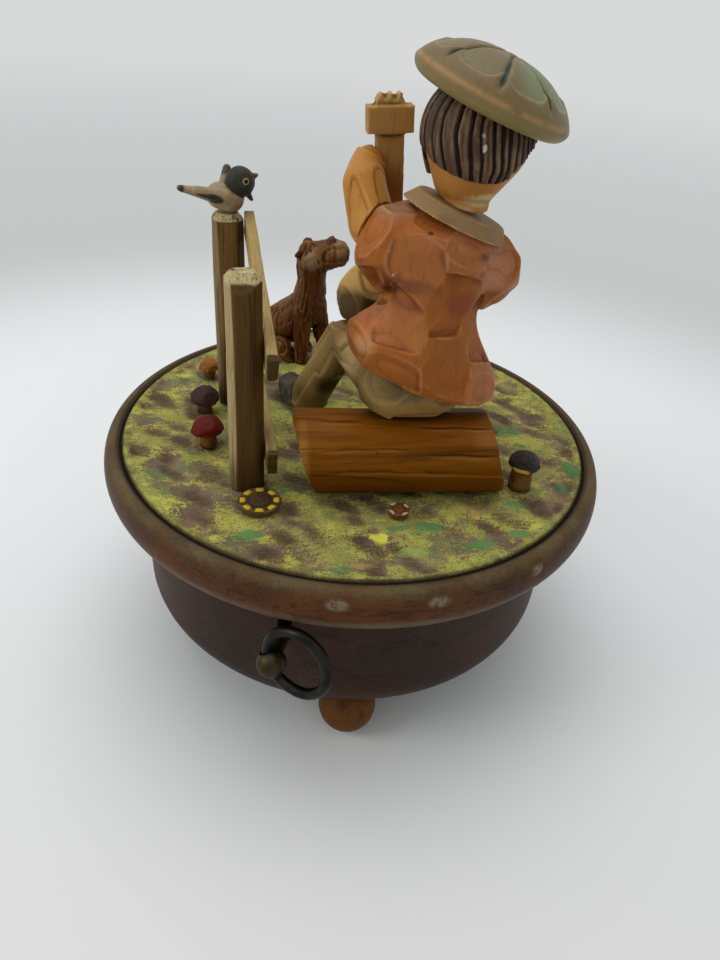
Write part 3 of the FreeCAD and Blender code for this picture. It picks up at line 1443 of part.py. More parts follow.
def make_dog():
    """The sitting dog that looks up at the boy."""
    spot = (size("dog_x"), size("dog_y"), ground)
    leg = size("dog_leg_radius")

    def dog_limb(label, *stops):
        return formed(chain(*((place(f"dog_{name}", spot), radius) for name, radius in stops)), label)

    parts = [dog_limb("DogTrunk", ("rump", size("dog_rump_radius")), ("chest", size("dog_chest_radius")),
                      ("nape", size("dog_neck_radius")), ("skull", size("dog_head_radius")),
                      ("muzzle", size("dog_muzzle_radius"))),
             sphere(size("dog_nose_radius"), place("dog_nose", spot))]
    for side in ("near", "far"):
        parts.append(dog_limb("FrontLeg", (f"{side}_shoulder", leg * 1.5), (f"{side}_paw", leg)))
        parts.append(dog_limb("HindLeg", (f"{side}_haunch", leg * 2), (f"{side}_stifle", leg * 1.4),
                              (f"{side}_hind_paw", leg)))
        parts.append(dog_limb("Ear", (f"{side}_ear", leg * 0.8), (f"{side}_ear_tip", leg * 0.45)))
    node("dog", cut(fuse(*parts), below_ground()), turn=scene_turn)


def make_ground_pieces():
    for name in GROUND_PIECES:
        x, y = size(f"{name}_x"), size(f"{name}_y")
        cap, stem, up = size(f"{name}_cap"), size(f"{name}_stem"), size(f"{name}_cap_up")
        dome = sphere(cap, (x, y, ground + up))
        under = block((x - cap * 2, y - cap * 2, ground - cap), (x + cap * 2, y + cap * 2, ground + up))
        stalk = cone(stem, stem * 0.8, up + 0.5, (x, y, ground))
        node(name, fuse(cut(dome, under), stalk), turn=scene_turn)
    for name in ("large_flower", "small_flower"):
        x, y = size(f"{name}_x"), size(f"{name}_y")
        radius, height = size(f"{name}_radius"), size(f"{name}_height")
        disc = cone(radius * 0.9, radius, height * 0.8, (x, y, ground))
        heart = cylinder(radius * 0.42, height, (x, y, ground))
        node(name, fuse(disc, heart), turn=scene_turn)


def make_everything():
    make_bowl()
    make_feet()
    make_movement_screws()
    make_platform()
    make_pull()
    make_bedplate()
    make_comb()
    make_barrel()
    make_bridge()
    make_arbor_and_key()
    make_cylinder()
    make_brackets()
    make_governor()
    node("log", log_blank(), turn=scene_turn)
    make_boy()
    make_fence()
    make_dog()
    make_ground_pieces()


def write_parts():
    """Checks every object and every piece, then writes one file for each piece."""
    document.recompute()
    broken = [item for item in document.Objects if {"Invalid", "Error"} & set(item.State)]
    if broken:
        raise SystemExit(f"objects that failed: {[item.Name for item in broken]}")
    for piece in NODES:
        if piece.Shape.isNull() or not piece.Shape.isValid():
            raise SystemExit(f"{piece.Label} has no valid shape")
    os.makedirs("parts", exist_ok=True)
    for piece in NODES:
        piece.Shape.exportStep(f"parts/{piece.Label}.step")
    print(f"{len(NODES)} pieces written")


make_everything()
write_parts()
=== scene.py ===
# %% [markdown]
# # A carved wooden music box
# The real thing is turned and carved from wood, stained and painted by hand. A round platform turns
# over a bowl that hides the movement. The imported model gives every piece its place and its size;
# this lesson gives the pieces their carving, their paint and their wear.

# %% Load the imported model
import math

import bmesh
import bpy
import numpy as np
from mathutils import Matrix, Vector, noise


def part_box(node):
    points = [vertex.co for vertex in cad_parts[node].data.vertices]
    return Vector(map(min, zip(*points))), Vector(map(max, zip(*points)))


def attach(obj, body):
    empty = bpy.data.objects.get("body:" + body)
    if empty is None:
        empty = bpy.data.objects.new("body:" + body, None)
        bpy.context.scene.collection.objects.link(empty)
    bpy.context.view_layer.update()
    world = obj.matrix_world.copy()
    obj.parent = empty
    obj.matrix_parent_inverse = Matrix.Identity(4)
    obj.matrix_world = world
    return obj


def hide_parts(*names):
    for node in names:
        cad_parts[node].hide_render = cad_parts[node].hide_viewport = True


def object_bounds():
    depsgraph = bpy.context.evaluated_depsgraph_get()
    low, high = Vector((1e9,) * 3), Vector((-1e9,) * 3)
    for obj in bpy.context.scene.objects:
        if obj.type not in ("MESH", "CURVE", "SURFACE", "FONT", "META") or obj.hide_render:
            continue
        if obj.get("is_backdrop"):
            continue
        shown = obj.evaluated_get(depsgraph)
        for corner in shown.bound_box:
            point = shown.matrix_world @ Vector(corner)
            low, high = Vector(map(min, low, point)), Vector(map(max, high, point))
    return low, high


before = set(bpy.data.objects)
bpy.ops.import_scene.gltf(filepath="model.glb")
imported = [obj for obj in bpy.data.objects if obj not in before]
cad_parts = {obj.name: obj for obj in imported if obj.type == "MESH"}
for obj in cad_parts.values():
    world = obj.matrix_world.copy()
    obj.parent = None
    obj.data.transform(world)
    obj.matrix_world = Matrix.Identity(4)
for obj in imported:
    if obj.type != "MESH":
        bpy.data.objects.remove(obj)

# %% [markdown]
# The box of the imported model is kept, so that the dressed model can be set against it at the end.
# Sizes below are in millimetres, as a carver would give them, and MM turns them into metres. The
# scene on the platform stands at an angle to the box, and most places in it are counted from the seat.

packed_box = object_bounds()
MM = 0.001
SCENE_TURN = math.radians(21.2)
GROUND = 68.7
SEAT = np.array((8.0, -28.5, GROUND + 21.1))
ORIGIN = np.zeros(3)
bpy.context.scene.view_settings.view_transform = "Standard"
print("packed pieces:", len(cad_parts))

# %% [markdown]
# ## Sums on sockets
# A material is a graph of nodes, and most of its nodes are plain sums. Written as nodes they are
# long to read, so a small class wraps a socket and lets Python's own signs build the Math nodes.

# %% A socket that takes part in sums
class Signal:
    """An output socket of a graph. A sum on it adds a Math node."""

    def __init__(self, graph, socket):
        self.graph, self.socket = graph, socket

    def math(self, operation, *values):
        return self.graph.add("ShaderNodeMath", {"operation": operation}, *values)

    def __add__(self, other):
        return self.math("ADD", self, other)

    def __sub__(self, other):
        return self.math("SUBTRACT", self, other)

    def __rsub__(self, other):
        return self.math("SUBTRACT", other, self)

    def __mul__(self, other):
        return self.math("MULTIPLY", self, other)

    def __truediv__(self, other):
        return self.math("DIVIDE", self, other)

    def __pow__(self, other):
        return self.math("POWER", self, other)

    __radd__ = __add__
    __rmul__ = __mul__

    def between(self, low, high):
        """0 below low and 1 above high, with a soft step between them. High may be the lower one."""
        step = {"interpolation_type": "SMOOTHSTEP"}
        return self.graph.add("ShaderNodeMapRange", step, self, low, high, 0.0, 1.0)


# %% A graph of nodes
class Graph:
    """A node tree in which one call adds a node: its type, its settings, then its sockets in order."""

    def __init__(self, tree):
        self.tree = tree

    def add(self, kind, settings=None, *values, out=0, **named):
        node = self.tree.nodes.new(kind)
        for name, value in (settings or {}).items():
            setattr(node, name, value)
        for index, value in enumerate(values):
            self.feed(node.inputs[index], value)
        for name, value in named.items():
            self.feed(next(s for s in node.inputs if name in (s.identifier, s.name)), value)
        if isinstance(out, int):
            return Signal(self, node.outputs[out])
        return Signal(self, next(s for s in node.outputs if out in (s.identifier, s.name)))

    def parts(self, kind, *values):
        """Every output of one node."""
        first = self.add(kind, None, *values)
        return [Signal(self, socket) for socket in first.socket.node.outputs]

    def feed(self, socket, value):
        if isinstance(value, Signal):
            self.tree.links.new(value.socket, socket)
        elif value is not None:
            socket.default_value = value

    def mix(self, amount, low, high):
        """Low where the amount is 0 and high where it is 1. Either may be a code from a paint card."""
        low, high = (shade(tone) if isinstance(tone, str) else tone for tone in (low, high))
        colours = {"Factor_Float": amount, "A_Color": low, "B_Color": high}
        return self.add("ShaderNodeMix", {"data_type": "RGBA"}, **colours, out="Result_Color")

    def close(self, kind, value):
        """Leads the last value into the node that ends the tree."""
        end = self.tree.nodes.new(kind)
        self.feed(end.inputs[0], value)


def shade(code):
    """A colour written as on a paint card, as the linear values that nodes use."""
    parts = [int(code[i:i + 2], 16) / 255 for i in (1, 3, 5)]
    return (*[p / 12.92 if p <= 0.04045 else ((p + 0.055) / 1.055) ** 2.4 for p in parts], 1.0)


# %% [markdown]
# ## Finishes
# Every finish starts from the same few things: the point on the piece in millimetres, noise at a
# chosen pitch, and the marks that the carving leaves on the mesh. The figures stand on the platform
# at an angle, so their finishes read the point in the scene's own directions.

# %% A finish
class Finish(Graph):
    """A material under way. Its colour starts with the recipe, and paint is laid over it."""

    def __init__(self, name, turn=SCENE_TURN):
        self.material = bpy.data.materials.new(name)
        self.material.use_nodes = True
        super().__init__(self.material.node_tree)
        self.tree.nodes.clear()
        object_point = self.add("ShaderNodeTexCoord", out="Object")
        self.turned = self.add("ShaderNodeMapping", None, object_point, None, (0, 0, -turn), (1 / MM,) * 3)
        self.point = self.place()

    def place(self, stretch=(1, 1, 1), shift=(0, 0, 0)):
        """The point in millimetres in the scene's directions, stretched along them."""
        return self.add("ShaderNodeMapping", None, self.turned, shift, None, stretch)

    def axes(self, vector=None):
        return self.parts("ShaderNodeSeparateXYZ", vector or self.point)

    def upward(self):
        """1 where the skin faces up, -1 where it faces down."""
        return self.axes(self.add("ShaderNodeNewGeometry", out="Normal"))[2]

    def noise(self, pitch, detail=2.0, rough=0.5, stretch=(1, 1, 1), shift=(0, 0, 0)):
        """Noise from 0 to 1 with its humps about one pitch apart, longer along an axis stretched under 1."""
        vector = self.place(stretch, shift)
        return self.add("ShaderNodeTexNoise", None, vector, Scale=0.5 / pitch, Detail=detail, Roughness=rough)

    def mark(self, name):
        """A mark that the carving left on the mesh, such as how sharp a ridge is."""
        return self.add("ShaderNodeAttribute", {"attribute_name": name}, out="Fac")

    def spot(self, centre, reach, soft=0.25):
        """1 inside an ellipsoid about a point of the scene, falling to 0 at its skin."""
        stretch = tuple(1 / r for r in reach)
        shift = tuple(-c / r for c, r in zip(centre, reach))
        place = self.place(stretch, shift)
        length = self.add("ShaderNodeVectorMath", {"operation": "LENGTH"}, place, out="Value")
        return length.between(1.0, 1.0 - soft)

    def paint(self, amount, tone):
        """Lays a tone over the colour so far, by an amount from 0 to 1."""
        self.colour = self.mix(amount, self.colour, tone)

    def dabs(self, rows, start=SEAT):
        """Dabs of paint. A row is a place from the start, a reach, a tone, an amount and a softness."""
        for place, reach, tone, amount, soft in rows:
            self.paint(self.spot(start + place, reach, soft) * amount, tone)

    def patch(self, patches):
        """Patches are rows of dabs counted from the seat, or a function that paints more freely."""
        if callable(patches):
            patches(self)
        else:
            self.dabs(patches)

    def done(self, rough=0.5, metal=0.0, relief=None, gloss=0.5):
        """Closes the graph. Relief is in millimetres, and gloss is one value for the whole finish."""
        normal = None
        if relief is not None:
            normal = self.add("ShaderNodeBump", None, Strength=1.0, Distance=MM, Height=relief)
        skin = self.add("ShaderNodeBsdfPrincipled", None, **{
            "Base Color": self.colour, "Roughness": rough, "Metallic": metal, "Specular IOR Level": gloss,
            "Normal": normal})
        self.close("ShaderNodeOutputMaterial", skin)
        return self.material


# %% [markdown]
# ### Painted and carved limewood
# The carver cuts limewood with a knife and leaves the flats. Thin stain and paint go on after that
# and rub off along the ridges, which also get a painted highlight, while the creases and hollows get
# a painted shade. One recipe with different colours does for the coat, the trousers, the arms and
# the animals.

# %% The recipe
def limewood(name, base, second, worn_and_highlight, dirt_and_shade, grain=(1, 1, 0.15), rough=0.44, patches=(), ridge_wear_and_highlight=0.5,
             hollow_shade=0.8, gloss=0.12, flats=0.3):
    finish = Finish(name)
    broad = finish.noise(8.0, 3.0, 0.6)
    streak = finish.noise(0.5, 3.0, 0.6, grain)
    fine = finish.noise(0.2, 2.0)
    flat = finish.mark("flat")
    finish.colour = finish.mix(broad.between(0.35, 0.68) * 0.4 + flat * 0.6, base, second)
    finish.patch(patches)
    finish.paint(flat.between(0.55, 1.0) * flats, worn_and_highlight)
    finish.paint(flat.between(0.5, 0.2) * flat.between(0.0, 0.15) * flats, dirt_and_shade)
    finish.paint(streak.between(0.5, 0.8) * 0.3, dirt_and_shade)
    # Painted shade in the creases and hollows, in the darkest tone.
    finish.paint(finish.mark("hollow") * hollow_shade, dirt_and_shade)
    # Paler paint along the ridges: paint rubbed off there, with a painted highlight over it.
    rubbed = finish.mark("ridge") * (finish.noise(2.6).between(0.4, 0.62) * 0.85 + 0.15) * ridge_wear_and_highlight
    finish.paint(rubbed, worn_and_highlight)
    pits = finish.noise(1.1, 4.0, 0.7).between(0.7, 0.77)
    finish.paint(pits * 0.45, dirt_and_shade)
    relief = streak * 0.05 + fine * 0.02 - pits * 0.04
    return finish.done(broad * 0.2 + rough - 0.1 + streak * 0.06, relief=relief, gloss=gloss)


# %% [markdown]
# ### Stained wood with a grain
# Posts, rails and the log show long grain lines. A noise that is stretched along the grain gives
# them, and a second, finer one gives the pores.

# %% Grained wood
def grained(name, base, line, pale, stretch, rough=0.55, patches=(), lines=0.7, gloss=0.08, bands=1.1):
    finish = Finish(name)
    broad = finish.noise(7.0, 2.0, 0.5, stretch)
    band = finish.noise(bands, 3.0, 0.6, stretch)
    pore = finish.noise(0.25, 2.0, 0.65, stretch)
    finish.colour = finish.mix(broad.between(0.36, 0.66), base, pale)
    finish.patch(patches)
    finish.paint(band.between(0.52, 0.68) * lines, line)
    finish.paint(pore.between(0.52, 0.74) * 0.5, line)
    # Painted shade in the creases and hollows, in the tone of the grain lines.
    finish.paint(finish.mark("hollow") * 0.8, line)
    rubbed = finish.mark("ridge") * finish.noise(3.0).between(0.35, 0.6) * 0.5
    finish.paint(rubbed, pale)
    relief = pore * 0.06 + band * 0.05
    return finish.done(pore * 0.2 + rough - 0.1, relief=relief, gloss=gloss)


# %% [markdown]
# ### Turned and stained wood
# The bowl was stained nearly black on the lathe. The stain is thin where hands have rubbed it, and
# a little dust sits in the pores.

# %% Stained wood
def stained(name, base, warm, dark, dust, rough=0.42):
    finish = Finish(name, 0.0)
    broad = finish.noise(14.0, 3.0, 0.55)
    band = finish.noise(2.4, 3.0, 0.6, (0.22, 0.22, 1))
    pore = finish.noise(0.35, 2.0, 0.7, (0.3, 0.3, 1))
    speck = finish.noise(0.35, 3.0, 0.8)
    finish.colour = finish.mix(broad.between(0.38, 0.64), base, warm)
    finish.paint(band.between(0.5, 0.72) * 0.6, dark)
    finish.paint(pore.between(0.5, 0.72) * 0.5, dark)
    dusty = finish.noise(9.0, 4.0, 0.65).between(0.45, 0.7) * speck.between(0.45, 0.65)
    finish.paint(dusty * 0.4, dust)
    relief = pore * 0.05 + speck * 0.02
    return finish.done(dusty * 0.2 + rough + pore * 0.1, relief=relief, gloss=0.1)


# %% [markdown]
# ### Metal
# The ring is dark, handled metal and the movement is brass and steel. Fine scratches run round a
# turned piece, and a slow noise stands for tarnish.

# %% Metals
def metal(name, bright, dull, rough=0.3, dulled=0.5, scratch=(1, 1, 6)):
    finish = Finish(name, 0.0)
    cloud = finish.noise(2.5, 4.0, 0.65)
    line = finish.noise(0.5, 2.0, 0.7, scratch)
    finish.colour = finish.mix(cloud.between(0.35, 0.7) * dulled, bright, dull)
    finish.paint(line.between(0.6, 0.8) * 0.25, dull)
    relief = line * 0.012 + cloud * 0.02
    shine = 1.0 - cloud.between(0.55, 0.8) * 0.35
    return finish.done(cloud * 0.25 + rough - 0.08 + line * 0.06, shine, relief)


# %% [markdown]
# ## Carving
# A carved piece starts as a blank: a copy of the imported solid, remeshed to even faces. Knife cuts
# are made as the carver makes them: the skin is parted into patches, and each patch is cut down to
# a flat that is a little askew, so that neighbours meet in a ridge. The ridges, the hollows and the
# flats are then marked on the mesh, and the finishes rub the ridges paler, paint shade into the
# hollows and tone the flats.

# %% A blank to carve
AT_ONCE = 4000


def unit(vectors):
    return vectors / np.maximum(np.linalg.norm(vectors, axis=1, keepdims=True), 1e-9)


class Blank:
    """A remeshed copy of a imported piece, in millimetres and in the scene's directions."""

    def __init__(self, node, grain=0.5, turn=SCENE_TURN):
        self.node, self.grain, self.turn = node, grain, turn
        shell = bmesh.new()
        shell.from_mesh(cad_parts[node].data)
        bmesh.ops.remove_doubles(shell, verts=shell.verts, dist=1e-6)
        mesh = bpy.data.meshes.new(node)
        shell.to_mesh(mesh)
        shell.free()
        rough = add_object(f"rough_{node}", mesh)
        even = rough.modifiers.new("even", "REMESH")
        even.mode, even.voxel_size, even.adaptivity = "VOXEL", grain * MM, 0.0
        ready = rough.evaluated_get(bpy.context.evaluated_depsgraph_get())
        self.mesh = bpy.data.meshes.new_from_object(ready)
        bpy.data.objects.remove(rough)
        count = len(self.mesh.vertices)
        flat = np.empty(count * 3)
        self.mesh.vertices.foreach_get("co", flat)
        self.at = self.turned(flat.reshape(-1, 3) / MM, -turn)
        ends = np.empty(len(self.mesh.edges) * 2, int)
        self.mesh.edges.foreach_get("vertices", ends)
        self.ends = ends.reshape(-1, 2)
        self.degree = np.bincount(self.ends.ravel(), minlength=count)[:, None]
        self.corners = np.array([p.vertices[:] for p in self.mesh.polygons if len(p.vertices) == 4])

    @staticmethod
    def turned(points, angle):
        c, s = math.cos(angle), math.sin(angle)
        return points @ np.array(((c, s, 0), (-s, c, 0), (0, 0, 1)))

    def averaged(self, values, times):
        """Each point's value averaged with its neighbours', over and over."""
        a, b = self.ends.T
        for _ in range(times):
            total = np.zeros_like(values)
            for column in range(values.shape[1]):
                total[:, column] = (np.bincount(a, values[b, column], len(values))
                                    + np.bincount(b, values[a, column], len(values)))
            values = 0.5 * values + 0.5 * total / self.degree
        return values

    def normals(self):
        p = self.at[self.corners]
        across = np.cross(p[:, 2] - p[:, 0], p[:, 3] - p[:, 1])
        total = np.zeros_like(self.at)
        for corner in range(4):
            for column in range(3):
                total[:, column] += np.bincount(self.corners[:, corner], across[:, column], len(self.at))
        return unit(total)

    def relax(self, times):
        self.at = self.averaged(self.at, times)
        return self

    def facet(self, spacing, seed=1, stretch=(1, 1, 1), tilt=3.0, most=0.8, crease=0.35, inset=0.25):
        """Cuts knife flats about one spacing apart, longer along an axis stretched under 1.

        A flat leans by about the tilt, in degrees, and is cut no deeper than most. The crease is the
        width of the ridge between two flats, and the inset takes the flats below the highest wood.
        """
        calming = int((spacing / self.grain) ** 2 / 24) + 2
        skin = unit(self.averaged(self.normals(), calming))
        space = self.at * np.array(stretch)
        dice = np.random.default_rng(seed)
        seats = []
        for index in dice.permutation(len(space)):
            if not seats or ((space[seats] - space[index]) ** 2).sum(1).min() > spacing ** 2:
                seats.append(index)
        blocks = [slice(start, start + AT_ONCE) for start in range(0, len(space), AT_ONCE)]

        def apart(part):
            """How far every point of a block is from every seat, more where the skin turns away."""
            same_side = skin[part] @ skin[seats].T
            far = ((space[part, None] - space[seats][None]) ** 2).sum(2) / spacing ** 2
            return far + 2.0 * np.clip(0.3 - same_side, 0, 1)

        cell = np.concatenate([apart(part).argmin(1) for part in blocks])
        count = np.maximum(np.bincount(cell, minlength=len(seats)), 1)[:, None]
        centre, facing = (np.stack([np.bincount(cell, v[:, k], len(seats)) for k in range(3)], 1) / count
                          for v in (self.at, skin))
        facing = unit(unit(facing) + dice.normal(0, math.radians(tilt), facing.shape))
        tones = dice.uniform(0.2, 1, len(seats))
        depth, tone = np.zeros(len(space)), np.zeros((len(space), 1))
        for part in blocks:
            far = apart(part)
            share = np.exp((far.min(1, keepdims=True) - far) * spacing / crease)
            share /= share.sum(1, keepdims=True)
            proud = ((self.at[part, None] - centre[None]) * facing[None]).sum(2)
            depth[part] = (proud * share).sum(1)
            tone[part, 0] = share @ tones
        cut = np.clip(depth + inset, 0, most)
        self.at -= skin * cut[:, None]
        print(self.node, len(seats), "flats, mean cut", round(float(cut.mean()), 2), "mm")
        return self.label("flat", tone[:, 0])

    def cut(self, place, facing):
        """Saws off whatever stands beyond a plane through a place."""
        facing = np.array(facing, float) / np.linalg.norm(facing)
        beyond = np.maximum((self.at - np.array(place)) @ facing, 0)
        self.at -= beyond[:, None] * facing
        return self

    def drift(self, pitch, seed=0.0, stretch=(1, 1, 1)):
        """Smooth noise from -1 to 1 at every point."""
        shift = Vector((seed, 1.7 * seed, -seed))
        return np.array([noise.noise(Vector(p) + shift) for p in self.at * np.array(stretch) / pitch])

    def press(self, depth):
        """Cuts every point by its own depth into the wood."""
        self.at -= self.normals() * depth[:, None]
        return self

    def roughen(self, height, pitch, seed, stretch=(1, 1, 1), inset=0.04):
        return self.press(height * self.drift(pitch, seed, stretch) + inset)

    def label(self, word, values):
        """Keeps a value at every point for the finish to read."""
        self.mesh.attributes.new(word, "FLOAT", "POINT").data.foreach_set("value", values.astype(np.float32))
        return self

    def mark_bends(self):
        """Ridges and hollows, each from 0 to 1, from how the skin bends."""
        skin = self.normals()
        fine = ((self.averaged(self.at, 3) - self.at) * skin).sum(1) / self.grain
        broad = ((self.averaged(self.at, 50) - self.at) * skin).sum(1) / self.grain
        self.label("ridge", np.clip(-fine * 12 - 0.5, 0, 1))
        # The hollow mark drives the painted shade in the finishes.
        self.label("hollow", np.clip(fine * 8 - 0.1, 0, 0.6) + np.clip(broad * 0.9, 0, 0.6))

    def piece(self, material, slot):
        """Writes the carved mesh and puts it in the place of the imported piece."""
        self.mark_bends()
        self.mesh.vertices.foreach_set("co", (self.turned(self.at, self.turn) * MM).ravel())
        self.mesh.materials.clear()
        self.mesh.materials.append(material)
        made = add_object(f"carved_{self.node}", self.mesh)
        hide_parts(self.node)
        return settle(made)


def add_object(name, mesh):
    made = bpy.data.objects.new(name, mesh)
    bpy.context.collection.objects.link(made)
    return made


def settle(made):
    """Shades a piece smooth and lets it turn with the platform."""
    made.data.polygons.foreach_set("use_smooth", [True] * len(made.data.polygons))
    made.data.update()
    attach(made, "turntable")
    print(made.name, len(made.data.polygons), "faces")
    return made


# %% [markdown]
# ## The camera and the light
# The camera stands where the photograph was taken from. The light is a wide soft lamp overhead,
# another one to the left, as from a window, and a grey room that fills the shadows. The table is
# white near the box and an even pale grey far from it, as a sheet of paper that rises into a wall.

# %% Camera
FOCAL_PIXELS, FRAME_PIXELS, SENSOR = 722, 960, 36.0
lens = bpy.data.cameras.new("camera")
lens.lens, lens.sensor_width = FOCAL_PIXELS / FRAME_PIXELS * SENSOR, SENSOR
lens.clip_start, lens.clip_end = 0.01, 40.0
camera = add_object("camera", lens)
camera.matrix_world = Matrix(((0.9652, -0.2036, 0.1639, 0.0389), (0.2511, 0.5474, -0.7982, -0.1756),
                              (0.0728, 0.8117, 0.5796, 0.1774), (0, 0, 0, 1)))
bpy.context.scene.camera = camera

# %% Lamps and room
def lamp(name, place, target, width, power):
    light = bpy.data.lights.new(name, "AREA")
    light.shape, light.size, light.energy = "DISK", width, power
    holder = add_object(name, light)
    holder.location = place
    holder.rotation_euler = (Vector(target) - Vector(place)).to_track_quat("-Z", "Y").to_euler()


def seen_ray(graph):
    """Above 0 for rays that show the room itself, and 0 for those that light a matt skin."""
    path = graph.add("ShaderNodeLightPath").socket.node.outputs
    return sum(Signal(graph, path[f"Is {kind} Ray"]) for kind in ("Camera", "Glossy", "Transmission"))


def light_room():
    lamp("ceiling", (-0.1, 0.1, 1.0), (0, 0, 0.06), 0.9, 3.9)
    lamp("window", (-0.85, -0.55, 0.65), (0, 0, 0.08), 0.5, 3.2)
    world = bpy.data.worlds.new("room")
    bpy.context.scene.world = world
    world.use_nodes = True
    world.node_tree.nodes.clear()
    room = Graph(world.node_tree)
    tint = room.mix(seen_ray(room).between(0, 1), (0.55, 0.555, 0.56, 1), (0.68, 0.70, 0.70, 1))
    room.close("ShaderNodeOutputWorld", room.add("ShaderNodeBackground", None, tint, 1.0))


light_room()

# %% The table
TABLE_RINGS = (0.3, 0.8, 2.0, 6.0, 30.0)
CAMERA_TURN = math.radians(11.6)


def table_top():
    sides = 64
    points = [(0, 0, 0)] + [(r * math.cos(a), r * math.sin(a), 0) for r in TABLE_RINGS
                            for a in np.linspace(0, 2 * math.pi, sides, endpoint=False)]
    faces = [(0, 1 + i, 1 + (i + 1) % sides) for i in range(sides)]
    for ring in range(len(TABLE_RINGS) - 1):
        a, b = 1 + ring * sides, 1 + (ring + 1) * sides
        faces += [(a + i, b + i, b + (i + 1) % sides, a + (i + 1) % sides) for i in range(sides)]
    mesh = bpy.data.meshes.new("table_top")
    mesh.from_pydata(points, [], faces)
    mesh.materials.append(table_paint())
    add_object("table_top", mesh)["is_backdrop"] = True


def table_paint():
    """Matt white by the box, and seen from far off an even pale grey, as of a wall behind."""
    paint = Finish("table_paint", CAMERA_TURN)
    x, y, _ = paint.axes()
    away = (x * x + y * y) ** 0.5
    near = paint.mix(y.between(-160, 60), (0.75, 0.75, 0.74, 1), (0.8, 0.83, 0.825, 1))
    matt = paint.add("ShaderNodeBsdfPrincipled", None, **{"Base Color": near, "Roughness": 0.8,
                                                          "Specular IOR Level": 0.1})
    grey = paint.mix(away.between(330, 1700), (0.545, 0.57, 0.565, 1), (0.69, 0.70, 0.70, 1))
    wall = paint.add("ShaderNodeEmission", None, grey, 1.0)
    seen = seen_ray(paint).between(0, 1)
    both = paint.add("ShaderNodeMixShader", None, away.between(210, 400) * seen, matt, wall)
    paint.close("ShaderNodeOutputMaterial", both)
    return paint.material


table_top()

# %% [markdown]
# ## The movement
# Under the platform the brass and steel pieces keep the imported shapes, which are exact. They only
# get their metals.

# %% Metals of the movement
brass = metal("brass", "#c9a65c", "#7d6434", 0.3)
steel = metal("bright_steel", "#a9abae", "#6c6c6c", 0.26)
blued = metal("blued_spring_steel", "#5f6c86", "#3b4048", 0.24)
casting = metal("plated_casting", "#9c9b97", "#6e6b64", 0.45, 0.7)
PLAIN_METALS = {
    brass: ("spring_barrel", "barrel_cover", "music_cylinder", "great_wheel", "platform_bush", "rod_guide",
            "worm_wheel", "thrust_washer", "cylinder_pinion"),
    steel: ("cylinder_shaft", "winding_arbor", "winding_key", "music_comb", "comb_screws", "bridge_screws",
            "movement_screws", "governor_pinion", "governor_worm", "spindle"),
    blued: ("mainspring", "click_spring"),
    casting: ("bedplate", "barrel_bridge", "inner_bracket", "outer_bracket", "governor_frame", "air_brake"),
}


def coat(node, material):
    """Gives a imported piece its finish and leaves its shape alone."""
    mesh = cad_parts[node].data
    mesh.materials.clear()
    mesh.materials.append(material)


for material, nodes in PLAIN_METALS.items():
    for node in nodes:
        coat(node, material)

# %% [markdown]
# ## The pull rod and its ring
# The ring, the knob and the rod come out of the bowl under the platform. They are cast and turned,
# so their shapes stay too. The ring is dark steel and the knob is tarnished brass, gone brown.

# %% Metals of the pull
coat("pull_ring", metal("dark_steel", "#2e2d2a", "#141310", 0.36, 0.9, (1, 1, 1)))
tarnish = metal("tarnished_brass", "#453c2a", "#1f1a12", 0.42, 0.8, (1, 4, 1))
coat("pull_knob", tarnish)
coat("pull_rod", tarnish)

# %% [markdown]
# ## The bowl and its feet
# Turned shapes again. The bowl is nearly black with a red glow where the light grazes it, and the
# feet are waxed beech, gone brown.

# %% Stains
coat("bowl", stained("dark_bowl_stain", "#2e2119", "#3a2317", "#16100d", "#5e5246"))
beech = grained("waxed_beech", "#573410", "#331c08", "#68421c", (1, 1, 0.25), 0.42, lines=0.5)
for number in (1, 2, 3):
    coat(f"ball_foot_{number}", beech)

# %% [markdown]
# ## The platform
# The rim is a bull nose with a groove inside it. Within the groove the ground is chipped with a
# gouge and dabbed with a dry brush. The outline is turned with a Screw modifier, and a tree of
# Geometry Nodes then cuts the chips, because they follow one rule all over the ground.

# %% The outline of the platform
def platform_outline():
    """Radii and heights from the axis under the disc, round the rim, to the axis on top."""
    under, radius, edge_in, edge_low, shoulder = 55.9, 70.0, 4.8, 6.4, 3.0
    points = [(0, under + 6.5), (4.0, under + 6.5), (4.0, under), (20, under), (45, under)]
    for step in range(13):
        a = math.radians(90 * step / 12)
        points.append((radius - edge_in + edge_in * math.sin(a), under + edge_low * (1 - math.cos(a))))
    for step in range(1, 13):
        a = math.radians(90 * step / 12)
        points.append((radius - shoulder + shoulder * math.cos(a),
                       under + edge_low + (GROUND - under - edge_low) * math.sin(a)))
    groove = ((66.4, 0.0), (66.0, -0.05), (65.7, -0.5), (65.3, -1.0), (64.9, -0.9), (64.6, -0.3), (64.4, 0.0))
    points += [(r, GROUND + z) for r, z in groove]
    points += [(r, GROUND) for r in np.arange(64.0, 0.4, -0.36)] + [(0, GROUND)]
    return points


# %% Helpers for trees of Geometry Nodes
def node_tree(name, inputs):
    """A tree of Geometry Nodes with its named inputs. Returns its graph and the inputs by name."""
    tree = bpy.data.node_groups.new(name, "GeometryNodeTree")
    tree.interface.new_socket("Geometry", in_out="INPUT", socket_type="NodeSocketGeometry")
    for label, kind, value in inputs:
        socket = tree.interface.new_socket(label, in_out="INPUT", socket_type=f"NodeSocket{kind}")
        if value is not None:
            socket.default_value = value
    tree.interface.new_socket("Geometry", in_out="OUTPUT", socket_type="NodeSocketGeometry")
    graph = Graph(tree)
    entry = tree.nodes.new("NodeGroupInput")
    return graph, {socket.name: Signal(graph, socket) for socket in entry.outputs if socket.name}


def close_tree(graph, geometry, material):
    geometry = graph.add("GeometryNodeRealizeInstances", None, geometry)
    geometry = graph.add("GeometryNodeSetMaterial", None, Geometry=geometry, Material=material)
    graph.close("NodeGroupOutput", geometry)
    return graph.tree


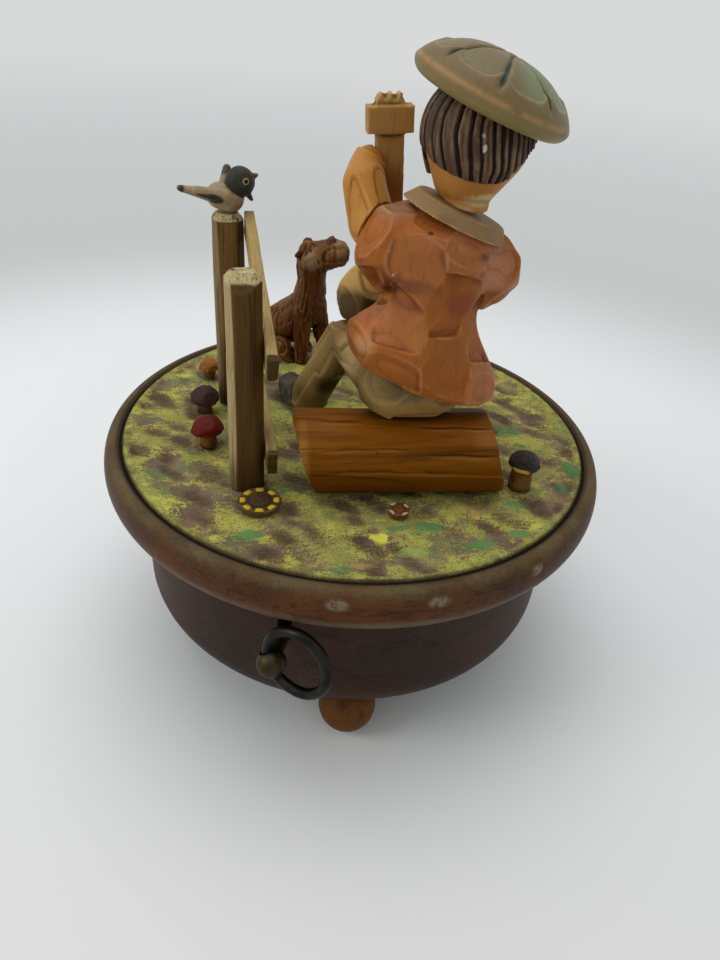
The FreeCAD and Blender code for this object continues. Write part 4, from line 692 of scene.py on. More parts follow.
def run_tree(piece, tree, **inputs):
    """Puts a tree on a piece, sets its inputs, and turns the result into the piece's plain mesh."""
    modifier = piece.modifiers.new(tree.name, "NODES")
    modifier.node_group = tree
    for item in tree.interface.items_tree:
        if item.in_out == "INPUT" and item.name in inputs:
            modifier[item.identifier] = inputs[item.name]
    ready = piece.evaluated_get(bpy.context.evaluated_depsgraph_get())
    mesh = bpy.data.meshes.new_from_object(ready)
    piece.modifiers.clear()
    piece.data = mesh
    return piece


# %% Chips cut by nodes
def chip_tree():
    """Long shallow chips, overlapping and a little askew, cut into the ground within a reach."""
    graph, given = node_tree("gouge_chips", [
        ("Reach", "Float", 0.0638), ("Depth", "Float", 0.0007), ("Chips per metre", "Float", 165.0),
        ("Sway", "Float", 0.006), ("Material", "Material", None)])
    at = graph.add("GeometryNodeInputPosition")
    x, y, z = graph.parts("ShaderNodeSeparateXYZ", at)
    radius = (x * x + y * y) ** 0.5
    inside = radius.between(given["Reach"], given["Reach"] - 0.0015) * z.between(0.0683, 0.0686)
    sway = graph.add("ShaderNodeTexNoise", None, at, Scale=70.0, Detail=1.0, out="Color")
    bend = graph.add("ShaderNodeCombineXYZ", None, given["Sway"], given["Sway"], 0.0)
    bent = graph.add("ShaderNodeVectorMath", {"operation": "MULTIPLY_ADD"}, sway, bend, at)
    askew = graph.add("ShaderNodeVectorRotate", {"rotation_type": "Z_AXIS"}, bent, Angle=0.5)
    long_cut = graph.add("ShaderNodeVectorMath", {"operation": "MULTIPLY"}, askew, (0.45, 1.0, 0.2))
    cell = graph.add("ShaderNodeTexVoronoi", {"feature": "SMOOTH_F1"}, long_cut,
                     Scale=given["Chips per metre"], Smoothness=0.1)
    broad = graph.add("ShaderNodeTexNoise", None, at, Scale=110.0, Detail=2.0)
    small = graph.add("ShaderNodeTexNoise", None, at, Scale=650.0, Detail=3.0, Roughness=0.7)
    scoop = 1.1 - cell * cell * 2.2 + (broad - 0.5) * 1.2 + (small - 0.5) * 0.5
    drop = graph.add("ShaderNodeCombineXYZ", None, 0.0, 0.0, scoop * given["Depth"] * inside * -1.0)
    moved = graph.add("GeometryNodeSetPosition", None, given["Geometry"], Offset=drop)
    return close_tree(graph, moved, given["Material"])


# %% [markdown]
# The ground is grey-brown earth. Over it a nearly dry brush has dragged yellow green, which catches
# only on what stands up, so the paint breaks into fine grains. A few wetter dabs of green, bright
# yellow and tan lie in fixed places.

# %% Paint of the ground
GROUND_DABS = (
    ((-8.1, -21.8), (3.6, 3.9), "#d3d155", 1.0), ((-11.2, -17.1), (3.4, 2.2), "#b9b957", 0.8),
    ((18.6, -12.6), (4.0, 2.0), "#b08d58", 0.8), ((-12.6, -31.0), (5.5, 1.6), "#ad8a55", 0.8),
    ((-37.9, -19.6), (4.6, 2.2), "#5c8a4c", 0.9), ((5.1, -17.8), (5.4, 2.4), "#5a8650", 0.9),
    ((15.9, -24.6), (4.6, 1.9), "#5d8c50", 0.9), ((30.2, -9.6), (4.5, 1.6), "#5d9048", 0.9),
    ((49.5, 6.2), (3.2, 5.0), "#4c7a4c", 0.9), ((44.0, -2.6), (3.4, 2.8), "#4f8050", 0.8),
    ((26.5, -21.0), (4.2, 1.9), "#5f8f52", 0.8), ((-3.2, -18.2), (3.4, 1.4), "#55804c", 0.8),
    ((-1.5, -26.8), (6.0, 2.4), "#98a85a", 0.8), ((-60.0, 5.0), (5.0, 2.2), "#6c8450", 0.6),
    ((-38.0, 48.0), (9.0, 5.0), "#58784c", 0.7), ((-22.0, 20.0), (6.0, 7.0), "#5c7a50", 0.7),
    ((36.0, 26.0), (8.0, 5.0), "#567649", 0.6), ((10.0, 60.0), (12.0, 4.0), "#5c7a4c", 0.6),
)
RIM_SCUFFS = (((-19.3, -40.0), (3.2, 4.0)), ((3.2, -40.0), (3.4, 4.0)), ((29.0, -31.0), (2.4, 3.0)))


def ground_paint():
    """Earth, dry-brushed greens and yellows, and the stained rim outside the groove."""
    finish = Finish("ground_paint")
    x, y, z = finish.axes()
    radius = (x * x + y * y) ** 0.5
    finish.colour = finish.mix(finish.noise(6.0, 4.0, 0.6).between(0.35, 0.65), "#6b5946", "#7d6b58")
    finish.paint(finish.noise(3.0, 4.0, 0.65, shift=(40, 0, 0)).between(0.55, 0.7) * 0.6, "#53402f")
    grains = finish.noise(0.26, 2.0, 0.75)
    hairs = finish.noise(0.55, 3.0, 0.7, (0.45, 1.2, 1), (8, 2, 0))
    high = z.between(GROUND - 0.95, GROUND + 0.15)
    catch = grains * 0.6 + hairs * 0.4 + (high - 0.5) * 0.16

    def brush(pitch, low, high, tone, shift, stretch=(0.8, 1.3, 1), strength=0.95):
        """Paint of a nearly dry brush: cloudy patches of one pitch, broken into grains."""
        cloud = finish.noise(pitch, 3.0, 0.6, stretch, shift).between(low, high)
        broken = (cloud * 0.14 + catch).between(0.57, 0.64)
        finish.paint(broken * strength, tone)

    brush(7.0, 0.48, 0.64, "#96764a", (11, 7, 0), strength=0.6)
    brush(6.0, 0.5, 0.66, "#4c6a3c", (31, 3, 0), strength=0.75)
    brush(8.0, 0.38, 0.56, "#968f4c", (3, 19, 0))
    brush(5.0, 0.46, 0.62, "#aea64e", (5, 53, 0))
    brush(3.6, 0.56, 0.68, "#c4bf54", (71, 23, 0), strength=0.7)
    for place, reach, tone, amount in GROUND_DABS:
        centre = (SEAT[0] + place[0], SEAT[1] + place[1], GROUND)
        cloud = finish.spot(centre, (*reach, 4.0), 0.7) * 0.3 + finish.noise(1.6, 3.0, 0.6) * 0.2
        finish.paint((cloud + catch).between(0.7, 0.78) * amount, tone)
    # Painted shade in the low floors of the gouge chips.
    low = high.between(0.42, 0.05) * (hairs.between(0.35, 0.6) * 0.4 + 0.35)
    finish.paint(low, "#3c2e22")
    trodden = radius.between(60.5, 64.5) * finish.noise(2.4, 3.0).between(0.42, 0.6)
    finish.paint(trodden * 0.65, "#66533f")
    dust, rim = rim_stain(finish, z, grains)
    outside = radius.between(65.5, 65.9)
    finish.paint(outside, rim)
    # Painted shade: the deep floor of the groove is painted near black.
    groove = radius.between(66.6, 66.0) * radius.between(64.3, 64.8) * z.between(68.3, 67.9)
    edge = radius.between(66.9, 65.9) * radius.between(63.8, 64.8)
    finish.paint(edge * 0.75, "#33271b")
    finish.paint(groove * 0.95, "#1c150d")
    rough = (1.0 - outside) * 0.25 + dust * 0.3 + 0.44
    relief = (1.0 - outside) * (catch * 0.35) + grains * 0.04
    return finish.done(rough, relief=relief, gloss=0.1)


def rim_stain(finish, z, grains):
    """Red-brown stain with a grain, dusty on top, and greyish where the lower lip was handled."""
    rim = finish.mix(finish.noise(9.0, 4.0, 0.6).between(0.38, 0.62), "#452b17", "#573116")
    grain = finish.noise(1.4, 3.0, 0.7, (0.25, 0.6, 1)).between(0.5, 0.7)
    rim = finish.mix(grain * 0.6, rim, "#2b1c10")
    pores = finish.noise(0.45, 3.0, 0.75, (0.22, 0.8, 1), (5, 5, 5)).between(0.5, 0.64)
    rim = finish.mix(pores * 0.55, rim, "#1d120b")
    patchy = finish.noise(6.0, 4.0, 0.7, shift=(9, 9, 9)).between(0.36, 0.64)
    dust = finish.upward().between(0.1, 0.85) * (patchy * 0.55 + 0.4) * (grains.between(0.3, 0.6) * 0.5 + 0.5)
    rim = finish.mix(dust * 0.85, rim, "#665c40")
    lip = z.between(61.4, 59.8) * z.between(55.6, 56.4) * (patchy * 0.6 + 0.3)
    rim = finish.mix(lip * grains.between(0.3, 0.55) * 0.7, rim, "#645e44")
    for place, reach in RIM_SCUFFS:
        centre = (SEAT[0] + place[0], SEAT[1] + place[1], GROUND - 3.2)
        scuff = finish.spot(centre, (*reach, 1.9), 0.6) * finish.noise(0.9, 3.0, 0.7).between(0.3, 0.6)
        rim = finish.mix(scuff * 0.55, rim, "#968a72")
    return dust, rim


# %% Turn the platform and cut the ground
def make_platform():
    outline = platform_outline()
    mesh = bpy.data.meshes.new("platform_outline")
    edges = [(i, i + 1) for i in range(len(outline) - 1)]
    mesh.from_pydata([(r * MM, 0, z * MM) for r, z in outline], edges, [])
    disc = add_object("carved_platform", mesh)
    turning = disc.modifiers.new("turning", "SCREW")
    turning.steps = turning.render_steps = 420
    turning.use_merge_vertices, turning.merge_threshold = True, 1e-6
    run_tree(disc, chip_tree(), Material=ground_paint())
    shell = bmesh.new()
    shell.from_mesh(disc.data)
    bmesh.ops.remove_doubles(shell, verts=shell.verts, dist=1e-6)
    bmesh.ops.recalc_face_normals(shell, faces=shell.faces)
    shell.to_mesh(disc.data)
    shell.free()
    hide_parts("platform")
    settle(disc)


make_platform()

# %% [markdown]
# ## The log
# A round of wood with slanted ends, smooth, with straight dark grain. A few long drying cracks run
# along it, each with one lip that is rubbed pale.

# %% Carve the log
LOG_HEIGHT, LOG_RADIUS = 10.3, 10.8
LOG_CRACKS = ((-15, 9, 33, 0.3), (12, 31, 24, 0.45), (-12, 20, 2, 0.2), (10, 30, 62, 0.4), (-14, -2, 74, 0.3),
              (-8, 20, 105, 0.4), (-10, 25, 140, 0.5), (0, 28, 165, 0.5))


def carve_log():
    """Cracks run from one place to another along the log, at an angle round it and with a depth."""
    blank = Blank("log", 0.36).relax(1)
    blank.facet(7.0, 3, (0.1, 1, 1), 1.0, 0.3, 1.2, 0.15)
    x, y, z = blank.at.T
    angle = np.degrees(np.arctan2(z - GROUND - LOG_HEIGHT, SEAT[1] - y))
    cuts, lips = np.zeros(len(x)), np.zeros(len(x))
    for start, end, where, deep in LOG_CRACKS:
        line = where + 1.6 * np.sin(x * 0.16 + where) + 0.5 * np.sin(x * 0.7)
        off = ((angle - line + 180) % 360 - 180) * LOG_RADIUS * math.pi / 180
        along = np.clip((x - start) / 5, 0, 1) * np.clip((end - x) / 5, 0, 1)
        cuts += deep * along * np.exp(-(off / 0.3) ** 2)
        lips = np.maximum(lips, along * np.exp(-((off + 0.75) / 0.35) ** 2) * min(1, deep * 2.2))
    blank.press(cuts + 0.07 * blank.drift(1.3, 2.0, (0.06, 1, 1)) + 0.08)
    return blank.label("lip", lips)


def log_dabs(finish):
    # Painted shade on the underside of the log, where it faces down.
    low = finish.upward().between(0.35, -0.2)
    finish.paint(low * 0.75, "#643703")
    finish.dabs((
        ((-20, -6, -1.5), (9, 9, 5), "#7e4d1c", 0.8, 0.7),
        ((12, -6, -1), (12, 5, 3.4), "#7e4518", 0.8, 0.8), ((0, 0, 1), (17, 9, 3.2), "#3a1c06", 0.85, 0.6),
        ((19.5, -7.5, -3.2), (5.5, 4, 4.4), "#8e5e30", 0.6, 0.8),
        ((17, 2, -0.5), (8, 6, 2.5), "#453017", 0.6, 0.7),
        ((-25.5, -8, -9), (2.2, 14, 16), "#9a7034", 0.7, 0.9),
        ((25.5, -8, -12), (2.2, 14, 16), "#8f622b", 0.6, 0.9),
        ((-16, -11.5, -9.5), (1, 2, 0.8), "#635a3a", 0.7, 0.8),
        ((2.5, -11.5, -10), (1.2, 2, 0.7), "#635a3a", 0.6, 0.8),
        ((-8, -9.5, -5.6), (0.5, 2, 0.5), "#271303", 0.8, 0.6)))
    finish.paint(finish.mark("lip") * 0.55, "#a17538")


log_finish = grained("log_stain", "#754306", "#452403", "#7e4c11", (0.04, 1, 1), 0.44, log_dabs, 0.5,
                     0.04, 1.5)
carve_log().piece(log_finish, "log_wood")

# %% [markdown]
# ## The fence
# Two square posts with cut corners and two planks that lean against them. The saw left crisp edges,
# so these blanks stay fine and are hardly relaxed. The near post has a slanted face cut into the
# front of its top, and behind that cut the bare end grain shows pale and pocked.

# %% Places along the fence
FENCE_TURN = math.radians(6.1)
FENCE = np.array((-30.7, -28.0, GROUND))
POST_HEIGHT, POST_SPACING = 55.0, 43.2


def by_fence(x, along, up):
    """A place beside the fence: to its right, along it from the near post, and above the ground."""
    c, s = math.cos(FENCE_TURN), math.sin(FENCE_TURN)
    return (FENCE[0] + x * c - along * s, FENCE[1] + x * s + along * c, FENCE[2] + up)


# %% Carve the posts and rails
def fence_dabs(finish):
    # Painted light on the left faces of both posts, which are painted paler.
    left = finish.spot(by_fence(-5.9, -2.0, 27), (3.8, 5.2, 60), 0.12)
    far_left = finish.spot(by_fence(-5.9, POST_SPACING - 2.0, 27), (3.8, 5.2, 60), 0.12)
    finish.paint(left * 0.9, "#b19c6e")
    finish.paint(far_left * 0.85, "#8a7650")
    far_front = finish.spot(by_fence(0.3, POST_SPACING - 4.2, 27), (3.4, 1.8, 60), 0.3)
    finish.paint(far_front * 0.55, "#8a6636")
    foot = finish.axes()[2].between(GROUND + 14, GROUND + 1)
    finish.paint(foot * 0.7, "#3a2913")
    top = finish.axes()[2].between(GROUND + POST_HEIGHT - 2.4, GROUND + POST_HEIGHT - 1.6)
    pocks = finish.noise(0.33, 3.0, 0.6).between(0.54, 0.66)
    pale = finish.mix(pocks * 0.75, "#bdae80", "#5b4c33")
    finish.paint(top * finish.upward().between(0.1, 0.4), pale)


def rail_dabs(finish):
    foot = finish.axes()[2].between(GROUND + 20, GROUND + 6)
    finish.paint(foot * 0.5, "#50401f")
    smudge = finish.noise(3.5, 3.0, 0.6, (1, 0.5, 0.6), (4, 4, 4)).between(0.54, 0.68)
    finish.paint(smudge * 0.45, "#5d5a48")
    for up, back in ((34, -7.6), (9, -7.2)):
        end = finish.spot(by_fence(5.4, back, up), (5, 1.7, 9), 0.15)
        finish.paint(end * 0.9, "#2c1b07")


post_finish = grained("post_wood", "#4f391a", "#271807", "#5f4521", (1, 1, 0.04), 0.58, fence_dabs, 0.75)
rail_finish = grained("rail_wood", "#8f7848", "#5c4620", "#ac935e", (1, 0.05, 0.3), 0.58, rail_dabs, 0.55)
for node, along in (("near_post", 0), ("far_post", POST_SPACING)):
    post = Blank(node, 0.3).facet(3.2, 5, (1, 1, 0.05), 1.0, 0.2, 0.4, 0.05)
    if node == "near_post":
        post.cut(by_fence(0.4, -1.6, POST_HEIGHT), (-0.02, -0.62, 0.40))
        post.cut(by_fence(-2.2, -1.6, POST_HEIGHT), (-0.45, -0.6, 0.42))
        post.cut(by_fence(3.0, -1.6, POST_HEIGHT), (0.4, -0.6, 0.42))
    post.roughen(0.1, 1.4, along + 5, (1, 1, 0.05), 0.08).relax(1).piece(post_finish, "fence_wood")
for node, seed in (("upper_rail", 7), ("lower_rail", 8)):
    rail = Blank(node, 0.3).roughen(0.12, 1.6, seed, (1, 0.06, 0.5), 0.1)
    rail.relax(1).piece(rail_finish, "fence_wood")

# %% [markdown]
# ## The boy's clothes
# The coat is cut in broad flats: mauve on the shoulders, pinker under the collar, orange brown over
# the back and dark in the waist. Those tones are dabs of paint at fixed places from the seat, and
# among them are a painted light low on the left of the skirt and a painted shade in the waist crease.
# Dirt has settled in a few bruises.

# %% Coat
COAT_DABS = (
    # The first dab on the next line, pale low on the left of the skirt, is a painted light.
    ((-12, -2, 18.6), (4.4, 5, 4.4), "#c08c5e", 0.8, 0.7), ((8, -4.4, 19), (5, 6, 8), "#b27444", 0.5, 0.8),
    ((-7.2, 6, 47.2), (7.5, 8, 4.5), "#967258", 0.8, 0.7),
    ((3.5, -3.8, 42.2), (11, 6, 3.6), "#a8633d", 0.8, 0.7),
    ((-10.5, 1, 42), (4.5, 5, 4.2), "#a4602c", 0.8, 0.6),
    ((1.5, -4, 37.4), (13, 6, 4.4), "#91511b", 0.85, 0.6),
    ((-10.5, 1.5, 33.5), (6.5, 7, 3.6), "#723319", 0.8, 0.7),
    # The next two dark dabs are painted shade in the waist crease.
    ((-3, -1.8, 32.2), (10, 6, 2.4), "#5c2616", 0.8, 0.7),
    ((-7.4, 0, 30.6), (3.6, 4, 1.8), "#361407", 0.85, 0.7),
    ((9, -2.8, 28.8), (6, 6, 4.4), "#854227", 0.8, 0.7),
    ((-3, -1.2, 27.6), (5.5, 5, 3), "#934a2a", 0.7, 0.7),
    ((-10.4, 0.5, 23.3), (6.5, 8, 6), "#b26a3b", 0.8, 0.7),
    ((3.5, -5.6, 20.6), (9, 7, 7), "#9b5e23", 0.75, 0.6), ((-8, -4, 15), (8, 7, 4), "#ab622a", 0.7, 0.6),
    ((15.2, 0, 36.1), (6.5, 8, 9), "#ae785a", 0.8, 0.7),
    ((16.5, -1.5, 29.5), (4.5, 5, 2.6), "#5f301d", 0.8, 0.7),
    ((8.5, -4.6, 19.7), (1, 2, 1.3), "#7d6d4c", 0.6, 0.8),
    ((-0.2, -2.1, 43.7), (0.9, 2, 0.4), "#362014", 0.85, 0.6),
    ((-7, -0.2, 34.3), (0.28, 2, 0.4), "#cdb78d", 0.9, 0.5),
    ((3.6, -3.8, 38), (0.6, 2, 0.4), "#44250b", 0.8, 0.6),
    ((16.8, -2, 28.6), (0.4, 2, 0.6), "#cdb78d", 0.8, 0.5),
)
COAT_BRUISES = (
    ((12.1, -2.9, 39.4), (2.3, 4, 2.1), 1.0), ((-11.5, 1.0, 42.4), (1.6, 3, 1.2), 0.9),
    ((12.0, -3.0, 35.8), (1.2, 3, 1.4), 0.5), ((-10.8, 1.0, 45.4), (2.2, 3, 2.0), 0.3),
)


def coat_dabs(finish):
    finish.dabs(COAT_DABS)
    golden = finish.noise(4.5, 3.0, 0.6, (1, 1, 0.7), (9, 4, 2)).between(0.5, 0.64)
    finish.paint(golden * 0.4, "#8e5220")
    soaked = finish.noise(3.0, 4.0, 0.65, (1, 1, 0.5), (2, 8, 5)).between(0.55, 0.7)
    finish.paint(soaked * 0.42, "#6a3014")
    broken = finish.noise(0.7, 3.0, 0.7).between(0.38, 0.56)
    for place, reach, amount in COAT_BRUISES:
        centre = SEAT + place
        finish.paint(finish.spot(centre, reach, 0.9) * broken * amount, "#20150f")


coat_finish = limewood("orange_coat", "#a26026", "#985322", "#c69468", "#4e200d", (1, 1, 0.3), 0.42,
                       coat_dabs, 0.4, 0.4, flats=0.2)
jacket = Blank("jacket", 0.42).relax(3).facet(8.0, 11, (1, 1, 0.7), 3.0, 0.9, 0.42)
jacket.roughen(0.05, 2.4, 4.0, (1, 1, 0.5), 0.03).piece(coat_finish, "orange_paint")

# %% [markdown]
# The trousers have long smooth flats, taupe on the knee with a painted light, and grey green in the
# shade of the hem; painted shade darkens the seat and the underside of the knee. The collar is one
# thin plate, sawn rather than carved, with its edge rubbed to bare wood and given a painted highlight.

# %% Trousers and collar
# The pale dab on the knee is a painted light, and the dark dabs at the back of the seat and under the knee
# are painted shade.
TROUSER_DABS = (((-14, 12, 9.5), (8, 9, 8), "#c2a46c", 0.85, 0.8),
                ((-3, -4, 8.4), (8, 8, 4.6), "#4c4024", 0.85, 0.7),
                ((0, -5, 3), (12, 8, 3.2), "#85652f", 0.8, 0.6),
                ((-9, 2, 3.5), (6, 8, 5), "#38240f", 0.8, 0.8),
                ((-16, 24, -6.5), (6, 8, 5), "#1c0f05", 0.9, 0.7))
cloth_finish = limewood("taupe_trousers", "#947845", "#846c3e", "#b3955e", "#49391b", (1, 1, 0.3), 0.5,
                        TROUSER_DABS, 0.35, 0.45, flats=0.14)
trousers = Blank("trousers", 0.45).relax(3).facet(7.5, 12, (0.8, 0.6, 0.7), 3.0, 0.8, 0.45)
trousers.roughen(0.04, 2.6, 7.0, inset=0.03).piece(cloth_finish, "taupe_paint")

COLLAR_DABS = (((2.5, -2, 46.5), (3, 3, 1.6), "#755e3e", 0.5, 0.8),
               ((-5.5, 2, 50.5), (2.5, 3, 2), "#66543b", 0.5, 0.8))
collar_finish = limewood("collar_paint", "#957854", "#8a6f4b", "#c19759", "#5b4427", (1, 1, 0.4), 0.52,
                         COLLAR_DABS, 0.75)
Blank("collar", 0.3).relax(1).roughen(0.06, 3.0, 3.0).piece(collar_finish, "taupe_paint")

# %% [markdown]
# ## Arms and shoes
# The arm is toned limewood, smooth on the shoulder and cut in flats at the hand, with red brown
# dabs near the hand.

# %% Arms and shoes
ARM_DABS = (((-12, 18, 49), (5, 7, 6), "#954f20", 0.75, 0.8),
            ((-9, 23, 52), (5, 5, 4), "#a04d23", 0.8, 0.8), ((-12, 10, 40), (5, 8, 8), "#c58f44", 0.6, 0.7))
skin_finish = limewood("toned_limewood", "#b8803b", "#ae7534", "#d3a25c", "#623411", (1, 1, 0.2), 0.42,
                       ARM_DABS, 0.4, flats=0.0)
arm = Blank("left_arm", 0.38).relax(3).facet(7.0, 14, (1, 1, 0.5), 1.0, 0.5, 1.6)
arm.piece(skin_finish, "skin_wood")
hand = Blank("right_hand", 0.35).relax(2).facet(2.6, 15, (1, 1, 1), 4.0, 0.4, 0.3, 0.1)
hand.piece(skin_finish, "skin_wood")
sole_finish = limewood("shoe_paint", "#3e372c", "#4b4335", "#7c705a", "#1e1912", rough=0.5)
for node, seed in (("left_shoe", 16), ("right_shoe", 17)):
    shoe = Blank(node, 0.4).relax(2).facet(3.4, seed, (1, 1, 1), 3.0, 0.5, 0.3, 0.12)
    shoe.piece(sole_finish, "sole_paint")

# %% [markdown]
# ## The head
# The face is a plain, calm one on the proportions that drawing books give: the eyes halfway down the
# head, the nose halfway from the eyes to the chin, and the mouth a third of the way below the nose.
# Behind, the neck was broken and glued: the glue is pale and the wood under it is ragged and dark.

# %% Face and neck
HEAD = SEAT + np.array((9.6, 8.5, 61.0))


def head_dabs(finish):
    finish.dabs((
        ((0, -7.5, -9), (12, 7, 5), "#915d26", 0.6, 0.8),
        ((-8, -3, -6), (4, 6, 7), "#a46f35", 0.6, 0.8)), HEAD)
    smeared = finish.noise(1.3, 3.0).between(0.3, 0.5)
    for place, reach in (((1.5, -6.5, -11.5), (5.5, 6, 2.0)), ((-3.5, -6.0, -13.6), (4.0, 6, 1.3))):
        centre = HEAD + place
        finish.paint(finish.spot(centre, reach, 0.6) * smeared, "#bea771")
    ragged = finish.spot(HEAD + (0.5, -2, -16.4), (8, 9, 2.6), 0.4)
    finish.paint(ragged * 0.9, finish.mix(smeared, "#311d0d", "#83683f"))
    for side in (-1, 1):
        finish.dabs((
            ((side * 4.1, 10.2, -0.4), (1.75, 3, 1), "#e3d2ab", 1.0, 0.2),
            ((side * 4.1, 10.4, -0.4), (0.85, 3, 0.95), "#2f2116", 1.0, 0.2),
            ((side * 4.1, 10.2, 2.6), (2.3, 3, 0.4), "#4e341f", 0.8, 0.4),
            ((side * 6.2, 8.5, -4.6), (2.6, 3.5, 2), "#bd6537", 0.5, 0.9)), HEAD)
    finish.dabs((((0, 10.5, -7.4), (2.2, 3, 0.45), "#914128", 1.0, 0.4),), HEAD)


face_finish = limewood("face_wood", "#b97f40", "#ae7437", "#d0a060", "#68421c", (1, 1, 0.25), 0.44,
                       head_dabs, 0.4)
head = Blank("head", 0.35).relax(3)
offset = head.at - HEAD
front = np.clip((offset[:, 1] - 4) / 4, 0, 1)
for side in (-1, 1):
    socket = ((offset[:, 0] - side * 4.1) / 3.0) ** 2 + ((offset[:, 2] + 0.2) / 2.0) ** 2
    head.press(front * 0.55 * np.exp(-socket) - front * 0.3 * np.exp(-socket * 5))
lips = (offset[:, 0] / 2.4) ** 2 + ((offset[:, 2] + 7.4) / 1.1) ** 2
gap = (offset[:, 0] / 2.2) ** 4 + (offset[:, 2] + 7.4) ** 2 / 0.06
head.press(front * (0.35 * np.exp(-gap) - 0.45 * np.exp(-lips)))
ragged = np.clip((HEAD[2] - 14.2 - head.at[:, 2]) / 1.2, 0, 1)
head.press(ragged * (0.6 + 0.9 * head.drift(0.9, 3.0, (1, 1, 0.5))))
head.relax(1).piece(face_finish, "skin_wood")

# %% [markdown]
# The hair is cut in smooth strands of uneven width that hang from the crown, bend a little, and
# close up at the nape. A deep cut parts each strand from the next, and it is painted near black as
# shade. The hair ends at a line that rises from the nape to the temples, so the neck shows.

# %% Hair
STRAND_WIDTHS = (15, 11, 17, 13, 10, 12, 9, 8, 9, 7, 8, 7, 9, 8, 11, 13, 16, 12, 15, 14, 17, 13, 15, 12,
                 14, 15, 12, 14, 12)
HAIR_EDGE = ((-110, -30), (-100, -1), (-80, -2.4), (-63, -4.9), (-43, -6), (-22, -7), (-4, -7.4),
             (18, -7.4), (28, -6.8), (40, -4.2), (50, -1.4), (62, 0), (100, 1.5), (110, -30))


def carve_hair():
    """Strand widths are in degrees round the head. The edge is given as degrees and heights."""
    blank = Blank("hair", 0.3).relax(2)
    x, y, z = (blank.at - HEAD).T
    around = np.degrees(np.arctan2(x, -y)) + 4.0 * np.sin(z * 0.3 + 0.6) + 1.6 * blank.drift(4.0, 2.0)
    lines = np.cumsum(STRAND_WIDTHS) * 360 / sum(STRAND_WIDTHS) - 78
    off = np.abs((around[:, None] - lines[None] + 180) % 360 - 180)
    near = off.min(1) * math.pi / 180 * np.hypot(x, y)
    which = off.argmin(1)
    deep = 0.5 + 0.55 * np.abs(np.sin(which * 2.4))
    groove = deep * np.exp(-(near / 0.42) ** 2)
    fine = 0.08 * blank.drift(0.5, 8.0, (1, 1, 0.12))
    line = np.interp(np.degrees(np.arctan2(x, -y)), *zip(*HAIR_EDGE))
    blank.press(groove + fine + 0.05)
    blank.at[:, 2] = np.maximum(blank.at[:, 2], HEAD[2] + line)
    blank.label("cut", groove)
    return blank.relax(1)


def hair_dabs(finish):
    # Painted shade: the cuts between the strands are painted near black.
    finish.paint(finish.mark("cut").between(0.25, 0.7), "#150b07")
    pale = finish.noise(0.5, 3.0, 0.6, (1, 1, 0.1), (3, 3, 3)).between(0.5, 0.66)
    finish.paint(pale * 0.45, "#7c664e")
    finish.dabs((((9, -4, 62), (7.5, 8, 9), "#1d120b", 0.55, 0.9),
                                ((7.9, -3.4, 60.6), (0.5, 2, 1), "#c9bfa4", 0.95, 0.5),
                                ((7.4, -3, 62.8), (0.4, 2, 0.5), "#b5a98c", 0.9, 0.5)))


hair_finish = limewood("hair_paint", "#523c2c", "#3f2c20", "#8a7054", "#180c07", (3, 3, 0.3), 0.4,
                       hair_dabs, 0.6, 1.0)
carve_hair().piece(hair_finish, "hair_paint")

# %% [markdown]
# ## The beret
# Seven cuts run from the middle of the crown towards the rim and part it into panels. Each panel is
# scooped out with a wide gouge, so it ends in a crisp round edge before the rim. The scoops are grey
# olive, green on the right, and the rim is rubbed to ochre along its edge.

# %% Beret
BERET = SEAT + np.array((11.4, 8.5, 68.8))
BERET_FRAME = Matrix.Rotation(math.radians(19), 3, "Y") @ Matrix.Rotation(math.radians(5), 3, "X")
BERET_RADIUS = 17.3
BERET_CUTS = (45, 97, 150, 205, 255, 302, 353)


def carve_beret():
    blank = Blank("beret", 0.36).relax(2)
    x, y, height = ((blank.at - BERET) @ np.array(BERET_FRAME)).T
    radius, angle = np.hypot(x, y), np.degrees(np.arctan2(y, x)) % 360
    top = np.clip((height + 0.4) / 1.0, 0, 1)
    ends = np.array(BERET_CUTS + (BERET_CUTS[0] + 360,), float)
    turned_angle = np.where(angle < ends[0], angle + 360, angle)
    sector = np.clip(np.searchsorted(ends, turned_angle, "right") - 1, 0, len(BERET_CUTS) - 1)
    middle, half = (ends[sector] + ends[sector + 1]) / 2, (ends[sector + 1] - ends[sector]) / 2
    across = np.abs(turned_angle - middle) / half
    near_cut = (1 - across) * half * math.pi / 180 * radius
    cut_end, scoop_end = 15.9, 14.6
    length = np.clip((radius - 0.2) / 0.8, 0, 1) * np.clip((cut_end - radius) / 2.0, 0, 1)
    cut = length * np.exp(-(near_cut / (0.3 + radius * 0.022)) ** 2)
    edge = scoop_end * np.sqrt(np.clip(1 - 0.5 * across ** 4, 0.05, 1))
    scoop = 1 / (1 + np.exp(-(edge - radius) / 0.22)) * np.clip((radius - 1.0) / 3.0, 0, 1)
    hollow = np.clip(1 - ((radius - 9.5) / 9.0) ** 2, 0, 1)
    notch = np.exp(-(radius / 1.4) ** 2)
    blank.press(top * (0.85 * cut + scoop * (0.22 + 0.3 * hollow) + 0.9 * notch))
    rim = np.exp(-((radius - BERET_RADIUS + 0.5) / 0.7) ** 2 - ((height - 0.5) / 0.6) ** 2)
    blank.label("cut", cut * top).label("panel", scoop * top).label("rim", rim)
    return blank.label("under", np.clip((0.2 - height) / 1.2, 0, 1))


